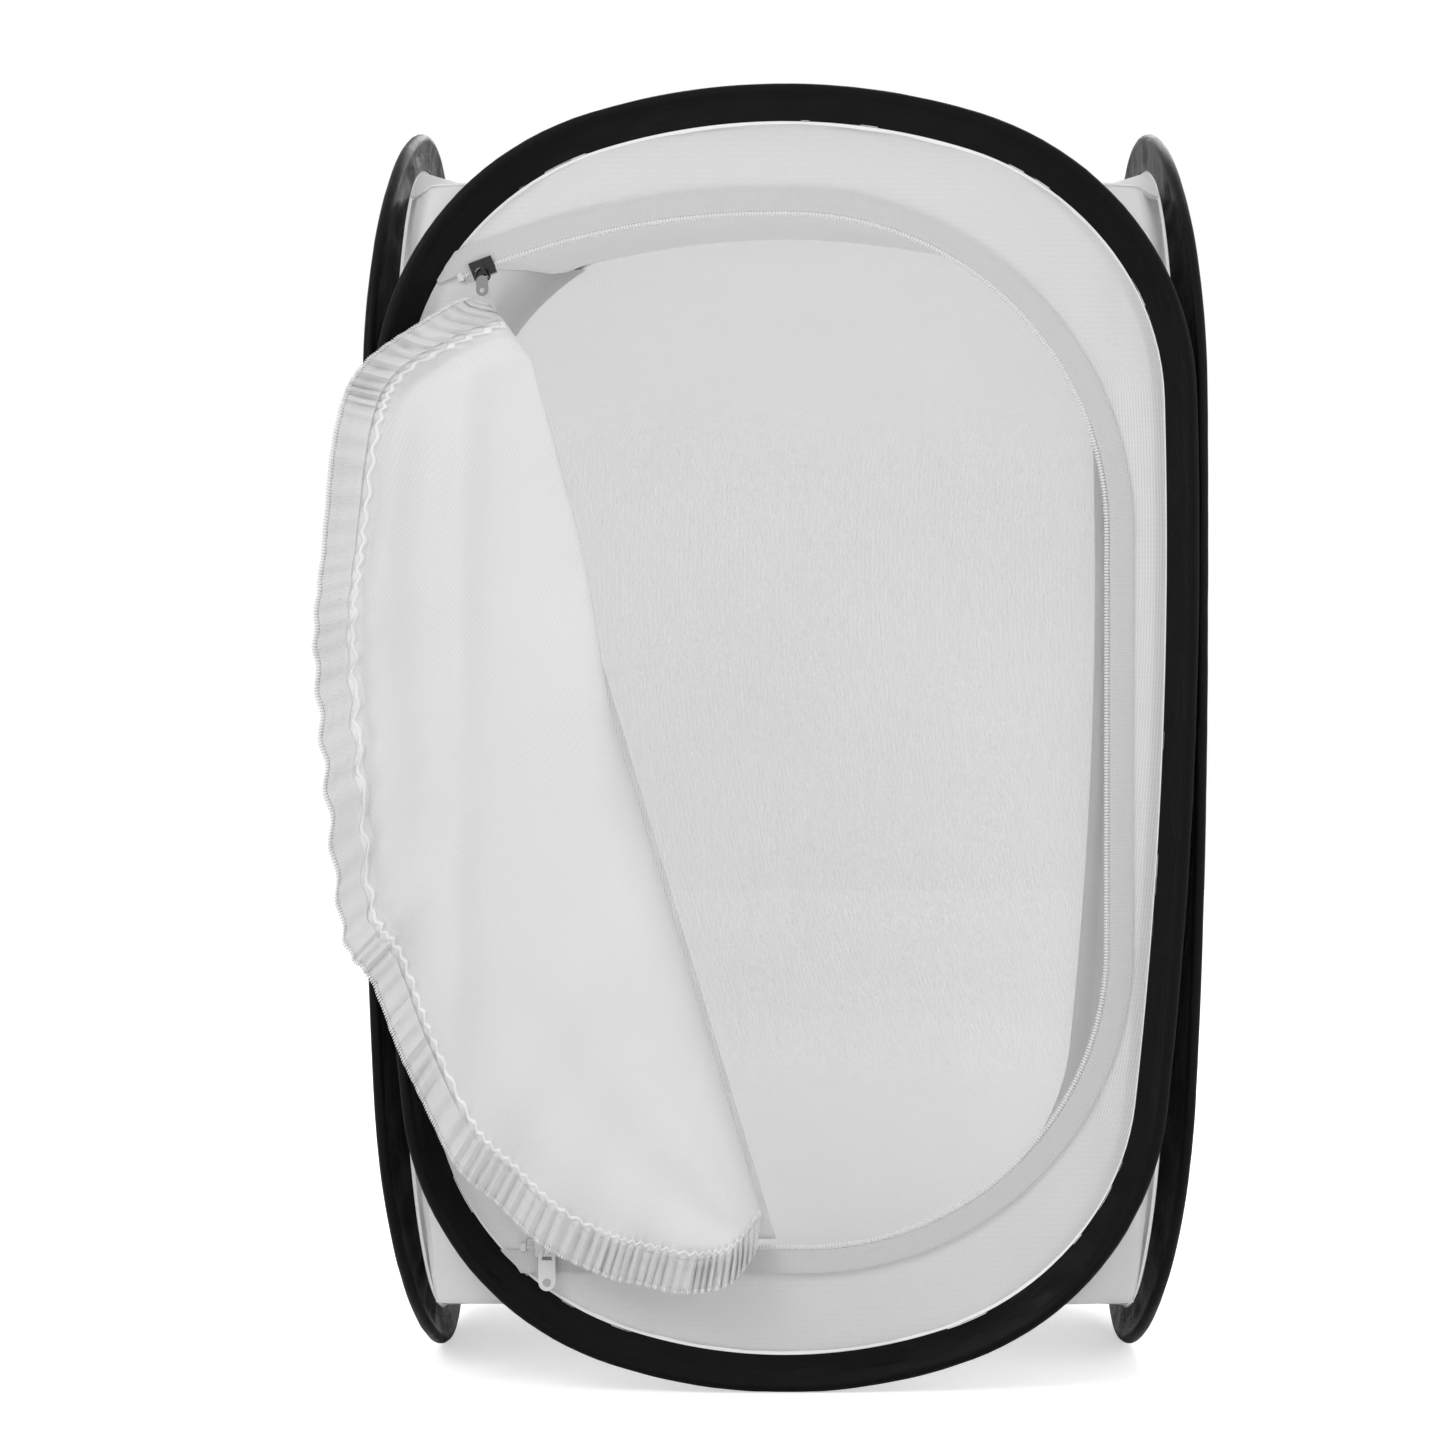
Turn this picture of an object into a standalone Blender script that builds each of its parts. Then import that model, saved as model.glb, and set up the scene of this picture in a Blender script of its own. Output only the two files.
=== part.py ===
"""Pop-up insect cage: four sleeved wire hoops, mesh faces, a zipped door and a folding frame."""

import bpy
import bmesh
from math import atan2, cos, hypot, pi, radians, sin, sqrt
from mathutils import Matrix, Vector

# Driving dimensions, in metres
CAGE_HEIGHT = 0.600
HOOP_HALF_WIDTH = 0.1885
WIDEST_HEIGHT = 0.390
CROWN_RADIUS = 0.300
SHOULDER_RADIUS = 0.140
SIDE_RADIUS = 2.400
BASE_RADIUS = 0.250
FOOT_CUT = 0.0005

WIRE_RADIUS = 0.0010
FERRULE_RADIUS = 0.0016
FERRULE_BORE_RADIUS = 0.0013
FERRULE_LENGTH = 0.016
WIRE_END_GAP = 0.004

SLEEVE_RADIUS = 0.0030
SLEEVE_BORE_RADIUS = 0.0023
SLEEVE_WIDTH = 0.0175
SLEEVE_LEG_THICKNESS = 0.0009
SLEEVE_SLIT = 0.0004

PANEL_THICKNESS = 0.0008
SEW_GAP = 0.0006
PIECE_GAP = 0.0003
SEAM_GAP = 0.0004
TOP_LEAN = 0.002
FOOT_LEAN = 0.012
TOP_CORNER_REACH = 0.163
TOP_CORNER_HEIGHT = 0.555
FLOOR_CORNER_REACH = 0.161
FLOOR_CORNER_HEIGHT = 0.040
FLOOR_FLAT_HALF = 0.080
TOP_SAG = 0.006
GUSSET_START_HEIGHT = 0.450
LOWER_GUSSET_HEIGHT = 0.250
SEAM_MARGIN = 0.006
SEAM_TAPE_THICKNESS = 0.0008
FOLD_INSET = 0.006

ZIP_LEFT_MARGIN = 0.0505
ZIP_RIGHT_MARGIN = 0.0415
ZIP_CROWN_DROP = 0.060
ZIP_BOTTOM = 0.067
ZIP_BOTTOM_END = -0.109
ZIP_TOP_RADIUS = 0.371
ZIP_TOP_CENTRE_X = -0.004
ZIP_SHOULDER_RADIUS = 0.145
ZIP_FOOT_RADIUS = 0.137
TAPE_WIDTH = 0.012
TAPE_THICKNESS = 0.0006
COIL_WIDTH = 0.0024
COIL_THICKNESS = 0.0018
DOOR_CUT_MARGIN = 0.006
ZIP_END_RUN = 0.0095
END_STOP_LENGTH = 0.0025
END_STOP_WIDTH = 0.0036

FOLD_FOOT_X = -0.003
FLAP_THICKNESS = 0.0008
FLAP_TAPE_GAP = 0.0007
FLAP_SEAM = 0.003
FLAP_RISE = 0.0185
FLAP_FOLD_WIDTH = 0.026
PLEAT_DEPTH = 0.0022
RUFFLE_DEPTH = 0.0022
RUFFLE_COUNT = 12
PLEAT_COUNT = 3

SLIDER_LENGTH = 0.011
SLIDER_PLATE = 0.0008
SLIDER_WEB = 0.0022
SLIDER_LIP = 0.0030
SLIDER_CLEARANCE = 0.0005
ARCH_LENGTH = 0.0066
ARCH_WIDTH = 0.0020
ARCH_BAR = 0.0009
WINDOW_LENGTH = 0.0036
WINDOW_HEIGHT = 0.0022
RING_RADIUS = 0.0032
RING_WIRE_RADIUS = 0.0007
TAB_WIDTH = 0.0055
TAB_LENGTH = 0.0095
TAB_THICKNESS = 0.0010
LOWER_TAB_WIDTH = 0.0078
LOWER_TAB_LENGTH = 0.0205
LOWER_TAB_RIM = 0.0014
LOWER_TAB_EYE_LENGTH = 0.0050
LOWER_TAB_HOLE_RADIUS = 0.0020

# Counts, angles and shares
CROWN_STEPS = 4
SHOULDER_STEPS = 6
SIDE_STEPS = 3
LEAN_POWER = 2.5
CORNER_TWIST = radians(45)
OUTER_ANGLES = (65, 111, 157, 203, 249, 295)
INNER_ANGLES = (338, 275, 212, 148, 85, 22)
QUARTER = pi / 2
ZIP_TOP_STEPS = 8
ZIP_SHOULDER_STEPS = 9
ZIP_FOOT_STEPS = 9
TAPE_END_SHARE = 0.6
FLAP_ROWS = 48
FLAP_COLUMNS = 11
FLAP_START_SHARE = 0.036
FLAP_END_SHARE = 0.95
PATCH_INNER_CELLS = 8
PATCH_OUTER_CELLS = 2
GUSSET_STEPS = 6
SEAM_STEPS = 4
RING_SIDES = 20
RING_WIRE_SIDES = 8
ARC_SIDES = 8

# Outer edge of the hanging flap, as shares of the fold line's length: along it and across it
FLAP_EDGE_SHARES = (
    (0.028, 0.035), (0.061, 0.133), (0.111, 0.173), (0.228, 0.224), (0.319, 0.258),
    (0.443, 0.284), (0.579, 0.310), (0.634, 0.297), (0.719, 0.289), (0.819, 0.272),
    (0.874, 0.244), (0.932, 0.208), (0.970, 0.165), (0.991, 0.130), (1.008, 0.085),
    (1.006, 0.040),
)

COLOURS = {
    "sleeve": ((0.012, 0.012, 0.013, 1), 0.45, 0),
    "mesh": ((0.80, 0.80, 0.80, 1), 0.8, 0),
    "solid_fabric": ((0.74, 0.74, 0.74, 1), 0.8, 0),
    "tape": ((0.62, 0.62, 0.62, 1), 0.8, 0),
    "coil": ((0.78, 0.78, 0.78, 1), 0.4, 0),
    "flap": ((0.82, 0.82, 0.82, 1), 0.8, 0),
    "steel": ((0.30, 0.30, 0.32, 1), 0.35, 1),
    "chrome": ((0.75, 0.75, 0.76, 1), 0.12, 1),
    "black_metal": ((0.02, 0.02, 0.02, 1), 0.35, 1),
    "clear_pull": ((0.70, 0.70, 0.70, 1), 0.2, 0),
}

FACE_TURNS = {"front": 0, "right": 1, "back": 2, "left": 3}
CORNER_TURNS = {"front_right": 0, "back_right": 1, "back_left": 2, "front_left": 3}
CORNER_BODIES = {"front_right": "front", "back_right": "right", "back_left": "left", "front_left": "front"}

# Values that follow from the driving dimensions
SLEEVE_LEG = SLEEVE_WIDTH - SLEEVE_RADIUS
BASE_CENTRE = BASE_RADIUS - FOOT_CUT
WIRE_HALF_WIDTH = HOOP_HALF_WIDTH - SLEEVE_RADIUS
WIRE_DEPTH = WIRE_HALF_WIDTH + (2 * SLEEVE_RADIUS + SEAM_GAP) / sqrt(2)
FACE_DEPTH = WIRE_DEPTH - SLEEVE_LEG * sin(CORNER_TWIST)
CLOSING_AXIS = FACE_DEPTH - FOLD_INSET
OPENING_AXIS = (WIRE_HALF_WIDTH + WIRE_DEPTH) / 2 + SLEEVE_RADIUS / sqrt(2)
LEG_HALF = SLEEVE_LEG_THICKNESS + SLEEVE_SLIT / 2
SLIDER_BORE = COIL_THICKNESS + 2 * SLIDER_CLEARANCE
SLIDER_HEIGHT = SLIDER_BORE + 2 * SLIDER_PLATE
SLIDER_INNER = COIL_WIDTH / 2 + SLIDER_CLEARANCE
DOOR_CUT_INNER = SLIDER_INNER + SLIDER_WEB + SLIDER_CLEARANCE
ZIP_LEFT = ZIP_LEFT_MARGIN - HOOP_HALF_WIDTH
ZIP_RIGHT = HOOP_HALF_WIDTH - ZIP_RIGHT_MARGIN


def clear_scene():
    for item in list(bpy.data.objects):
        bpy.data.objects.remove(item, do_unlink=True)


def make_collection(name):
    collection = bpy.data.collections.new(name)
    bpy.context.scene.collection.children.link(collection)
    return collection


def make_material(slot):
    colour, roughness, metallic = COLOURS[slot]
    material = bpy.data.materials.new(slot)
    material.use_nodes = True
    shader = material.node_tree.nodes["Principled BSDF"]
    shader.inputs["Base Color"].default_value = colour
    shader.inputs["Roughness"].default_value = roughness
    shader.inputs["Metallic"].default_value = metallic
    return material


clear_scene()
PARTS = make_collection("insect_cage")
CUTTERS = make_collection("cutters")
MATERIALS = {slot: make_material(slot) for slot in COLOURS}


def add_object(name, data, slot, turn=0, parent=None):
    """Link data as one piece, turned by quarter turns about the cage's upright middle line."""
    piece = bpy.data.objects.new(name, data)
    PARTS.objects.link(piece)
    piece.rotation_euler.z = turn * QUARTER
    if parent is not None:
        piece.parent = parent
        piece.matrix_parent_inverse = Matrix.Translation(-parent.location)
    if not data.materials:
        data.materials.append(MATERIALS[slot])
    return piece


def mesh_from(name, bm):
    bmesh.ops.recalc_face_normals(bm, faces=bm.faces)
    mesh = bpy.data.meshes.new(name)
    bm.to_mesh(mesh)
    bm.free()
    mesh.shade_smooth()
    mesh.set_sharp_from_angle(angle=radians(35))
    return mesh


def loft(name, rings, closed):
    """Skin closed rings one after another, with flat ends unless the path itself is closed."""
    bm = bmesh.new()
    rows = [[bm.verts.new(point) for point in ring] for ring in rings]
    pairs = list(zip(rows, rows[1:]))
    if closed:
        pairs.append((rows[-1], rows[0]))
    for first, second in pairs:
        for i in range(len(first)):
            j = (i + 1) % len(first)
            bm.faces.new((first[i], first[j], second[j], second[i]))
    if not closed:
        bm.faces.new(rows[0])
        bm.faces.new(rows[-1])
    return mesh_from(name, bm)


def sheet(name, rows):
    """A sheet of quads through rows of points; a row of one point ends it in a fan."""
    bm = bmesh.new()
    lines = [[bm.verts.new(point) for point in row] for row in rows]
    for first, second in zip(lines, lines[1:]):
        if len(first) == 1 or len(second) == 1:
            tip, line = (first[0], second) if len(first) == 1 else (second[0], first)
            for i in range(len(line) - 1):
                bm.faces.new((tip, line[i], line[i + 1]))
        else:
            for i in range(len(first) - 1):
                bm.faces.new((first[i], first[i + 1], second[i + 1], second[i]))
    return mesh_from(name, bm)


def thicken(piece, thickness):
    solid = piece.modifiers.new("Solidify", "SOLIDIFY")
    solid.thickness = thickness
    solid.offset = 0
    solid.use_even_offset = False
    return piece


def make_cutter(name, data):
    cutter = bpy.data.objects.new(name, data)
    CUTTERS.objects.link(cutter)
    cutter.hide_render = True
    cutter.display_type = "WIRE"
    return cutter


def cut(piece, cutter):
    boolean = piece.modifiers.new("Cut", "BOOLEAN")
    boolean.operation = "DIFFERENCE"
    boolean.solver = "EXACT"
    boolean.object = cutter
    return piece


def make_axis(name, location, parent=None):
    """An empty on a joint's axis, which the moving pieces hang from."""
    empty = bpy.data.objects.new(name, None)
    PARTS.objects.link(empty)
    empty.location = location
    if parent is not None:
        empty.parent = parent
        empty.matrix_parent_inverse = Matrix.Translation(-parent.location)
    return empty


# Outline of a hoop

def circles_meet(first, first_radius, second, second_radius, upper):
    """The upper or lower point where two circles cross."""
    dx = second[0] - first[0]
    dz = second[1] - first[1]
    apart = hypot(dx, dz)
    along = (apart ** 2 + first_radius ** 2 - second_radius ** 2) / (2 * apart)
    across = sqrt(max(first_radius ** 2 - along ** 2, 0))
    ends = []
    for side in (1, -1):
        x = first[0] + (along * dx - side * across * dz) / apart
        z = first[1] + (along * dz + side * across * dx) / apart
        ends.append((x, z))
    ends.sort(key=lambda point: point[1])
    return ends[1] if upper else ends[0]


def direction(start, end):
    return atan2(end[1] - start[1], end[0] - start[0])


def half_outline():
    """Right half of a sleeve's outer edge, top to bottom: arc centre, radius and angle of each point."""
    crown = (0, CAGE_HEIGHT - CROWN_RADIUS)
    base = (0, BASE_CENTRE)
    side = (HOOP_HALF_WIDTH - SIDE_RADIUS, WIDEST_HEIGHT)
    reach = SIDE_RADIUS - SHOULDER_RADIUS
    upper = circles_meet(crown, CROWN_RADIUS - SHOULDER_RADIUS, side, reach, True)
    lower = circles_meet(base, BASE_RADIUS - SHOULDER_RADIUS, side, reach, False)
    angles = [QUARTER, direction(crown, upper), direction(side, upper)]
    angles += [direction(side, lower), direction(base, lower), -QUARTER]
    stations = [(crown, CROWN_RADIUS, QUARTER)]
    arcs = (
        (crown, CROWN_RADIUS, CROWN_STEPS),
        (upper, SHOULDER_RADIUS, SHOULDER_STEPS),
        (side, SIDE_RADIUS, SIDE_STEPS),
        (lower, SHOULDER_RADIUS, SHOULDER_STEPS),
    )
    for index, (centre, radius, steps) in enumerate(arcs):
        start, end = angles[index], angles[index + 1]
        for step in range(1, steps + 1):
            stations.append((centre, radius, start + (end - start) * step / steps))
    near = angles[5] + FERRULE_LENGTH / BASE_RADIUS
    for angle in ((angles[4] + near) / 2, near, angles[5]):
        stations.append((base, BASE_RADIUS, angle))
    return stations


def face_depth(z):
    """How far a face's fabric stands from the cage's middle at a height."""
    if z > WIDEST_HEIGHT:
        share = (z - WIDEST_HEIGHT) / (CAGE_HEIGHT - WIDEST_HEIGHT)
        return FACE_DEPTH - TOP_LEAN * share ** LEAN_POWER
    share = (WIDEST_HEIGHT - z) / WIDEST_HEIGHT
    return FACE_DEPTH - FOOT_LEAN * min(share, 1) ** LEAN_POWER


def on_face(u, z, depth):
    """A point of the front face: u to the right, depth outwards from the cage's middle."""
    return Vector((u, -depth, z))


def hoop_station(centre, radius, angle, side):
    """Wire centre, sleeve's inner end, and the sleeve's two section directions at one station."""
    normal_u = cos(angle)
    normal_z = sin(angle)
    twist = CORNER_TWIST * normal_u ** 2
    u = centre[0] + (radius - SLEEVE_RADIUS) * normal_u
    z = centre[1] + (radius - SLEEVE_RADIUS) * normal_z
    end_u = u - SLEEVE_LEG * cos(twist) * normal_u
    end_z = z - SLEEVE_LEG * cos(twist) * normal_z
    end_depth = face_depth(end_z)
    depth = end_depth + SLEEVE_LEG * sin(twist)
    wire = on_face(side * u, z, depth)
    inner = on_face(side * end_u, end_z, end_depth)
    inward = (inner - wire).normalized()
    along = Vector((-normal_z * side, 0, normal_u))
    across = inward.cross(along).normalized() * side
    return wire, inner, inward, across


def hoop_stations():
    """All stations of a hoop: down the right side, then up the left."""
    half = half_outline()
    right = [hoop_station(*station, 1) for station in half]
    left = [hoop_station(*station, -1) for station in half[1:-1]]
    return right + left[::-1]


STATIONS = hoop_stations()
BOTTOM_INDEX = len(half_outline()) - 1


def sleeve_ring(wire, inward, across, outer, bore, leg, leg_half, slit_half):
    """The folded tape's section: round the wire outside, back round it inside."""
    ring = [wire + inward * leg + across * leg_half]
    for degrees in OUTER_ANGLES:
        angle = radians(degrees)
        ring.append(wire + inward * outer * cos(angle) + across * outer * sin(angle))
    ring.append(wire + inward * leg - across * leg_half)
    ring.append(wire + inward * leg - across * slit_half)
    for degrees in INNER_ANGLES:
        angle = radians(degrees)
        height = bore * sin(angle)
        if abs(height) < bore / 2:
            height = slit_half if height > 0 else -slit_half
        ring.append(wire + inward * bore * cos(angle) + across * height)
    ring.append(wire + inward * leg + across * slit_half)
    return [Vector((point.x, point.y, max(point.z, 0))) for point in ring]


def make_sleeve_mesh():
    rings = []
    for wire, inner, inward, across in STATIONS:
        rings.append(
            sleeve_ring(wire, inward, across, SLEEVE_RADIUS, SLEEVE_BORE_RADIUS,
                        SLEEVE_LEG, LEG_HALF, SLEEVE_SLIT / 2)
        )
    return loft("sleeve", rings, True)


def make_wire_curve():
    """An open loop of round wire whose two ends stop inside the ferrule at the hoop's foot."""
    order = STATIONS[BOTTOM_INDEX + 1:] + STATIONS[:BOTTOM_INDEX]
    foot = STATIONS[BOTTOM_INDEX][0]
    half_gap = WIRE_END_GAP / 2
    straight = FERRULE_LENGTH / 2 + WIRE_RADIUS
    points = [foot + Vector((-half_gap, 0, 0)), foot + Vector((-straight, 0, 0))]
    points += [station[0] for station in order]
    points += [foot + Vector((straight, 0, 0)), foot + Vector((half_gap, 0, 0))]
    curve = bpy.data.curves.new("hoop_wire", "CURVE")
    curve.dimensions = "3D"
    curve.bevel_depth = WIRE_RADIUS
    curve.bevel_resolution = 2
    curve.use_fill_caps = True
    spline = curve.splines.new("POLY")
    spline.points.add(len(points) - 1)
    for slot, point in zip(spline.points, points):
        slot.co = (*point, 1)
    return curve


def make_ferrule_mesh():
    foot = STATIONS[BOTTOM_INDEX][0]
    rings = []
    half = FERRULE_LENGTH / 2
    profile = ((-half, FERRULE_RADIUS), (half, FERRULE_RADIUS))
    profile += ((half, FERRULE_BORE_RADIUS), (-half, FERRULE_BORE_RADIUS))
    for step in range(RING_SIDES):
        angle = 2 * pi * step / RING_SIDES
        ring = [
            foot + Vector((x, radius * cos(angle), radius * sin(angle))) for x, radius in profile
        ]
        rings.append(ring)
    return loft("ferrule", rings, True)


def face_rows():
    """Rows of a full face panel, each one level line between the sleeve's two inner ends."""
    rows = []
    for wire, inner, inward, across in STATIONS[:BOTTOM_INDEX + 1]:
        edge = inner + inward * SEW_GAP
        if abs(edge.x) < SEW_GAP:
            rows.append([edge])
        else:
            rows.append([Vector((-edge.x, edge.y, edge.z)), edge])
    return rows


# Path of the zip

def zip_stations():
    """The teeth line from its upper left end, clockwise, to its lower left end: point and outward normal."""
    reach = ZIP_TOP_RADIUS - ZIP_SHOULDER_RADIUS
    top_x = ZIP_TOP_CENTRE_X
    top = (top_x, CAGE_HEIGHT - ZIP_CROWN_DROP - ZIP_TOP_RADIUS)
    shoulder_x = ZIP_RIGHT - ZIP_SHOULDER_RADIUS
    shoulder = (shoulder_x, top[1] + sqrt(reach ** 2 - (shoulder_x - top_x) ** 2))
    foot = (ZIP_RIGHT - ZIP_FOOT_RADIUS, ZIP_BOTTOM + ZIP_FOOT_RADIUS)
    start = pi - atan2(sqrt(ZIP_TOP_RADIUS ** 2 - (ZIP_LEFT - top_x) ** 2), top_x - ZIP_LEFT)
    join = direction(top, shoulder)
    stations = [(top, ZIP_TOP_RADIUS, start + ZIP_END_RUN / ZIP_TOP_RADIUS)]
    for step in range(ZIP_TOP_STEPS + 1):
        angle = start + (join - start) * step / ZIP_TOP_STEPS
        stations.append((top, ZIP_TOP_RADIUS, angle))
    for step in range(1, ZIP_SHOULDER_STEPS + 1):
        angle = join * (1 - step / ZIP_SHOULDER_STEPS)
        stations.append((shoulder, ZIP_SHOULDER_RADIUS, angle))
    for step in range(ZIP_FOOT_STEPS + 1):
        angle = -QUARTER * step / ZIP_FOOT_STEPS
        stations.append((foot, ZIP_FOOT_RADIUS, angle))
    line = []
    for centre, radius, angle in stations:
        point = (centre[0] + radius * cos(angle), centre[1] + radius * sin(angle))
        line.append((point, (cos(angle), sin(angle))))
    line.append(((FOLD_FOOT_X, ZIP_BOTTOM), (0, -1)))
    line.append(((ZIP_BOTTOM_END - ZIP_END_RUN, ZIP_BOTTOM), (0, -1)))
    return line, top


ZIP_LINE, ZIP_TOP_CENTRE = zip_stations()
FOLD_TOP = ZIP_LINE[1][0]
FOLD_TOP_NORMAL = ZIP_LINE[1][1]
FOLD_FOOT = (FOLD_FOOT_X, ZIP_BOTTOM)
FOLD_LENGTH = hypot(FOLD_FOOT[0] - FOLD_TOP[0], FOLD_FOOT[1] - FOLD_TOP[1])
FOLD_ALONG = ((FOLD_FOOT[0] - FOLD_TOP[0]) / FOLD_LENGTH, (FOLD_FOOT[1] - FOLD_TOP[1]) / FOLD_LENGTH)
FOLD_ACROSS = (FOLD_ALONG[1], -FOLD_ALONG[0])
ZIP_LIFT = PANEL_THICKNESS / 2 + PIECE_GAP + TAPE_THICKNESS / 2


def zip_depth(z):
    """Depth of the zip tape's middle layer, just in front of the face's fabric."""
    return face_depth(z) + ZIP_LIFT


def zip_strip(name, inner, outer, thickness, end_share=1):
    """A flat strip along the teeth line, between two distances outside it, narrowed at its two ends."""
    rings = []
    for index, (point, normal) in enumerate(ZIP_LINE):
        ring = []
        reach = outer * end_share if index in (0, len(ZIP_LINE) - 1) else outer
        for distance, side in ((inner, -1), (inner, 1), (reach, 1), (reach, -1)):
            u = point[0] + normal[0] * distance
            z = point[1] + normal[1] * distance
            ring.append(on_face(u, z, zip_depth(point[1]) + side * thickness / 2))
        rings.append(ring)
    return loft(name, rings, False)


def shifted(place, distance):
    point, normal = place
    return point[0] + normal[0] * distance, point[1] + normal[1] * distance


def run_past(place, side):
    """A station just past an end stop, in line with one end of the zip."""
    point, normal = place
    run = side * (END_STOP_LENGTH + 3 * PIECE_GAP)
    return (point[0] + normal[1] * run, point[1] - normal[0] * run), normal


def door_cutter_mesh():
    """A prism through the front face: inside the zip, right of the fold line, and past the zip's ends."""
    start = run_past(ZIP_LINE[0], -1)
    end = run_past(ZIP_LINE[-1], 1)
    outline = [shifted(place, DOOR_CUT_MARGIN) for place in [start] + ZIP_LINE + [end]]
    outline.append(shifted(end, -DOOR_CUT_INNER))
    outline.append((FOLD_FOOT[0] - FOLD_ALONG[0] * DOOR_CUT_INNER, FOLD_FOOT[1] + DOOR_CUT_INNER))
    outline.append(shifted(ZIP_LINE[1], -DOOR_CUT_INNER))
    outline.append(shifted(start, -DOOR_CUT_INNER))
    front = [on_face(u, z, FACE_DEPTH + FLAP_RISE) for u, z in outline]
    back = [on_face(u, z, FACE_DEPTH - FLAP_RISE - FOOT_LEAN) for u, z in outline]
    return loft("door_cutter", [front, back], False)


# Hanging door flap

def edge_point(share):
    """A point of the flap's outer edge in the face's plane, on a smooth line through the edge shares."""
    last = len(FLAP_EDGE_SHARES) - 1
    place = share * last
    index = min(int(place), last - 1)
    t = place - index
    picks = [FLAP_EDGE_SHARES[min(max(index + k, 0), last)] for k in (-1, 0, 1, 2)]
    values = []
    for axis in (0, 1):
        a, b, c, d = (pick[axis] for pick in picks)
        values.append(
            (2 * b + (c - a) * t + (2 * a - 5 * b + 4 * c - d) * t ** 2
             + (3 * b - a - 3 * c + d) * t ** 3) / 2
        )
    along, across = (value * FOLD_LENGTH for value in values)
    u = FOLD_TOP[0] + FOLD_ALONG[0] * along + FOLD_ACROSS[0] * across
    z = FOLD_TOP[1] + FOLD_ALONG[1] * along + FOLD_ACROSS[1] * across
    return u, z


def root_point(share):
    """A point of the flap's sewn edge, which lies on the panel just beside the fold line."""
    along = FOLD_LENGTH * (FLAP_START_SHARE + (FLAP_END_SHARE - FLAP_START_SHARE) * share)
    u = FOLD_TOP[0] + FOLD_ALONG[0] * along + FOLD_ACROSS[0] * FLAP_SEAM
    z = FOLD_TOP[1] + FOLD_ALONG[1] * along + FOLD_ACROSS[1] * FLAP_SEAM
    return u, z


def flap_point(row_share, column_share):
    """The flap's middle surface: from the fold line at 0 to the gathered outer edge at 1."""
    root = root_point(row_share)
    edge = edge_point(row_share)
    u = root[0] + (edge[0] - root[0]) * column_share
    z = root[1] + (edge[1] - root[1]) * column_share
    away = (u - FOLD_TOP[0]) * FOLD_ACROSS[0] + (z - FOLD_TOP[1]) * FOLD_ACROSS[1]
    bend = 1 - min(max(away - FLAP_SEAM, 0) / FLAP_FOLD_WIDTH, 1)
    rise = FLAP_RISE * sqrt(1 - bend ** 2)
    calm = sin(pi * row_share) ** 0.5 if 0 < row_share < 1 else 0
    pleat = PLEAT_DEPTH * calm * sin(2 * pi * PLEAT_COUNT * column_share) * column_share
    ruffle = RUFFLE_DEPTH * column_share ** 4 * calm * sin(2 * pi * RUFFLE_COUNT * row_share)
    base = face_depth(z) + (PANEL_THICKNESS + FLAP_THICKNESS) / 2 + PIECE_GAP
    return on_face(u, z, base + rise + pleat + ruffle)


def flap_rows():
    rows = []
    for row in range(FLAP_ROWS + 1):
        rows.append([
            flap_point(row / FLAP_ROWS, column / FLAP_COLUMNS) for column in range(FLAP_COLUMNS + 1)
        ])
    return rows


def flap_edge_strip(name, distances, thickness, lift):
    """A strip along the flap's outer edge; distances run outwards from that edge along each row."""
    rings = []
    for row in range(FLAP_ROWS + 1):
        share = row / FLAP_ROWS
        edge = flap_point(share, 1)
        inner = flap_point(share, (FLAP_COLUMNS - 1) / FLAP_COLUMNS)
        step = edge - inner
        outward = Vector((step.x, 0, step.z)).normalized()
        ring = []
        for place, side in ((0, -1), (0, 1), (1, 1), (1, -1)):
            start = inner if distances[place] is None else edge + outward * distances[place]
            ring.append(start + Vector((0, -(lift + side * thickness / 2), 0)))
        rings.append(ring)
    return loft(name, rings, False)


# Top and floor panels, gussets and corner seams

def edge_height(u, top):
    """Height of a hoop's sewn edge above the ground at a distance from the hoop's middle."""
    offset = SLEEVE_WIDTH
    corner = TOP_CORNER_HEIGHT if top else FLOOR_CORNER_HEIGHT
    centre = CAGE_HEIGHT - CROWN_RADIUS if top else BASE_CENTRE
    radius = (CROWN_RADIUS if top else BASE_RADIUS) - offset
    bow = sqrt(max(radius ** 2 - u ** 2, 0))
    height = centre + bow if top else centre - bow
    return max(height, corner) if top else min(height, corner)


def patch_reach(top):
    return TOP_CORNER_REACH if top else FLOOR_CORNER_REACH


def knee(top):
    """Distance from a hoop's middle at which its sewn edge reaches the panel's corner height."""
    if top:
        radius = CROWN_RADIUS - SLEEVE_WIDTH
        drop = TOP_CORNER_HEIGHT - (CAGE_HEIGHT - CROWN_RADIUS)
    else:
        radius = BASE_RADIUS - SLEEVE_WIDTH
        drop = BASE_CENTRE - FLOOR_CORNER_HEIGHT
    return sqrt(max(radius ** 2 - drop ** 2, 0))


def side_reach(u, top):
    """How far the panel's edge lies from the cage's middle: along the sleeve, then in to the corner."""
    corner = patch_reach(top)
    middle = face_depth(edge_height(0, top)) - LEG_HALF - PIECE_GAP
    bend = knee(top)
    if abs(u) <= bend:
        return middle
    return middle + (corner - middle) * (abs(u) - bend) / (corner - bend)


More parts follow.
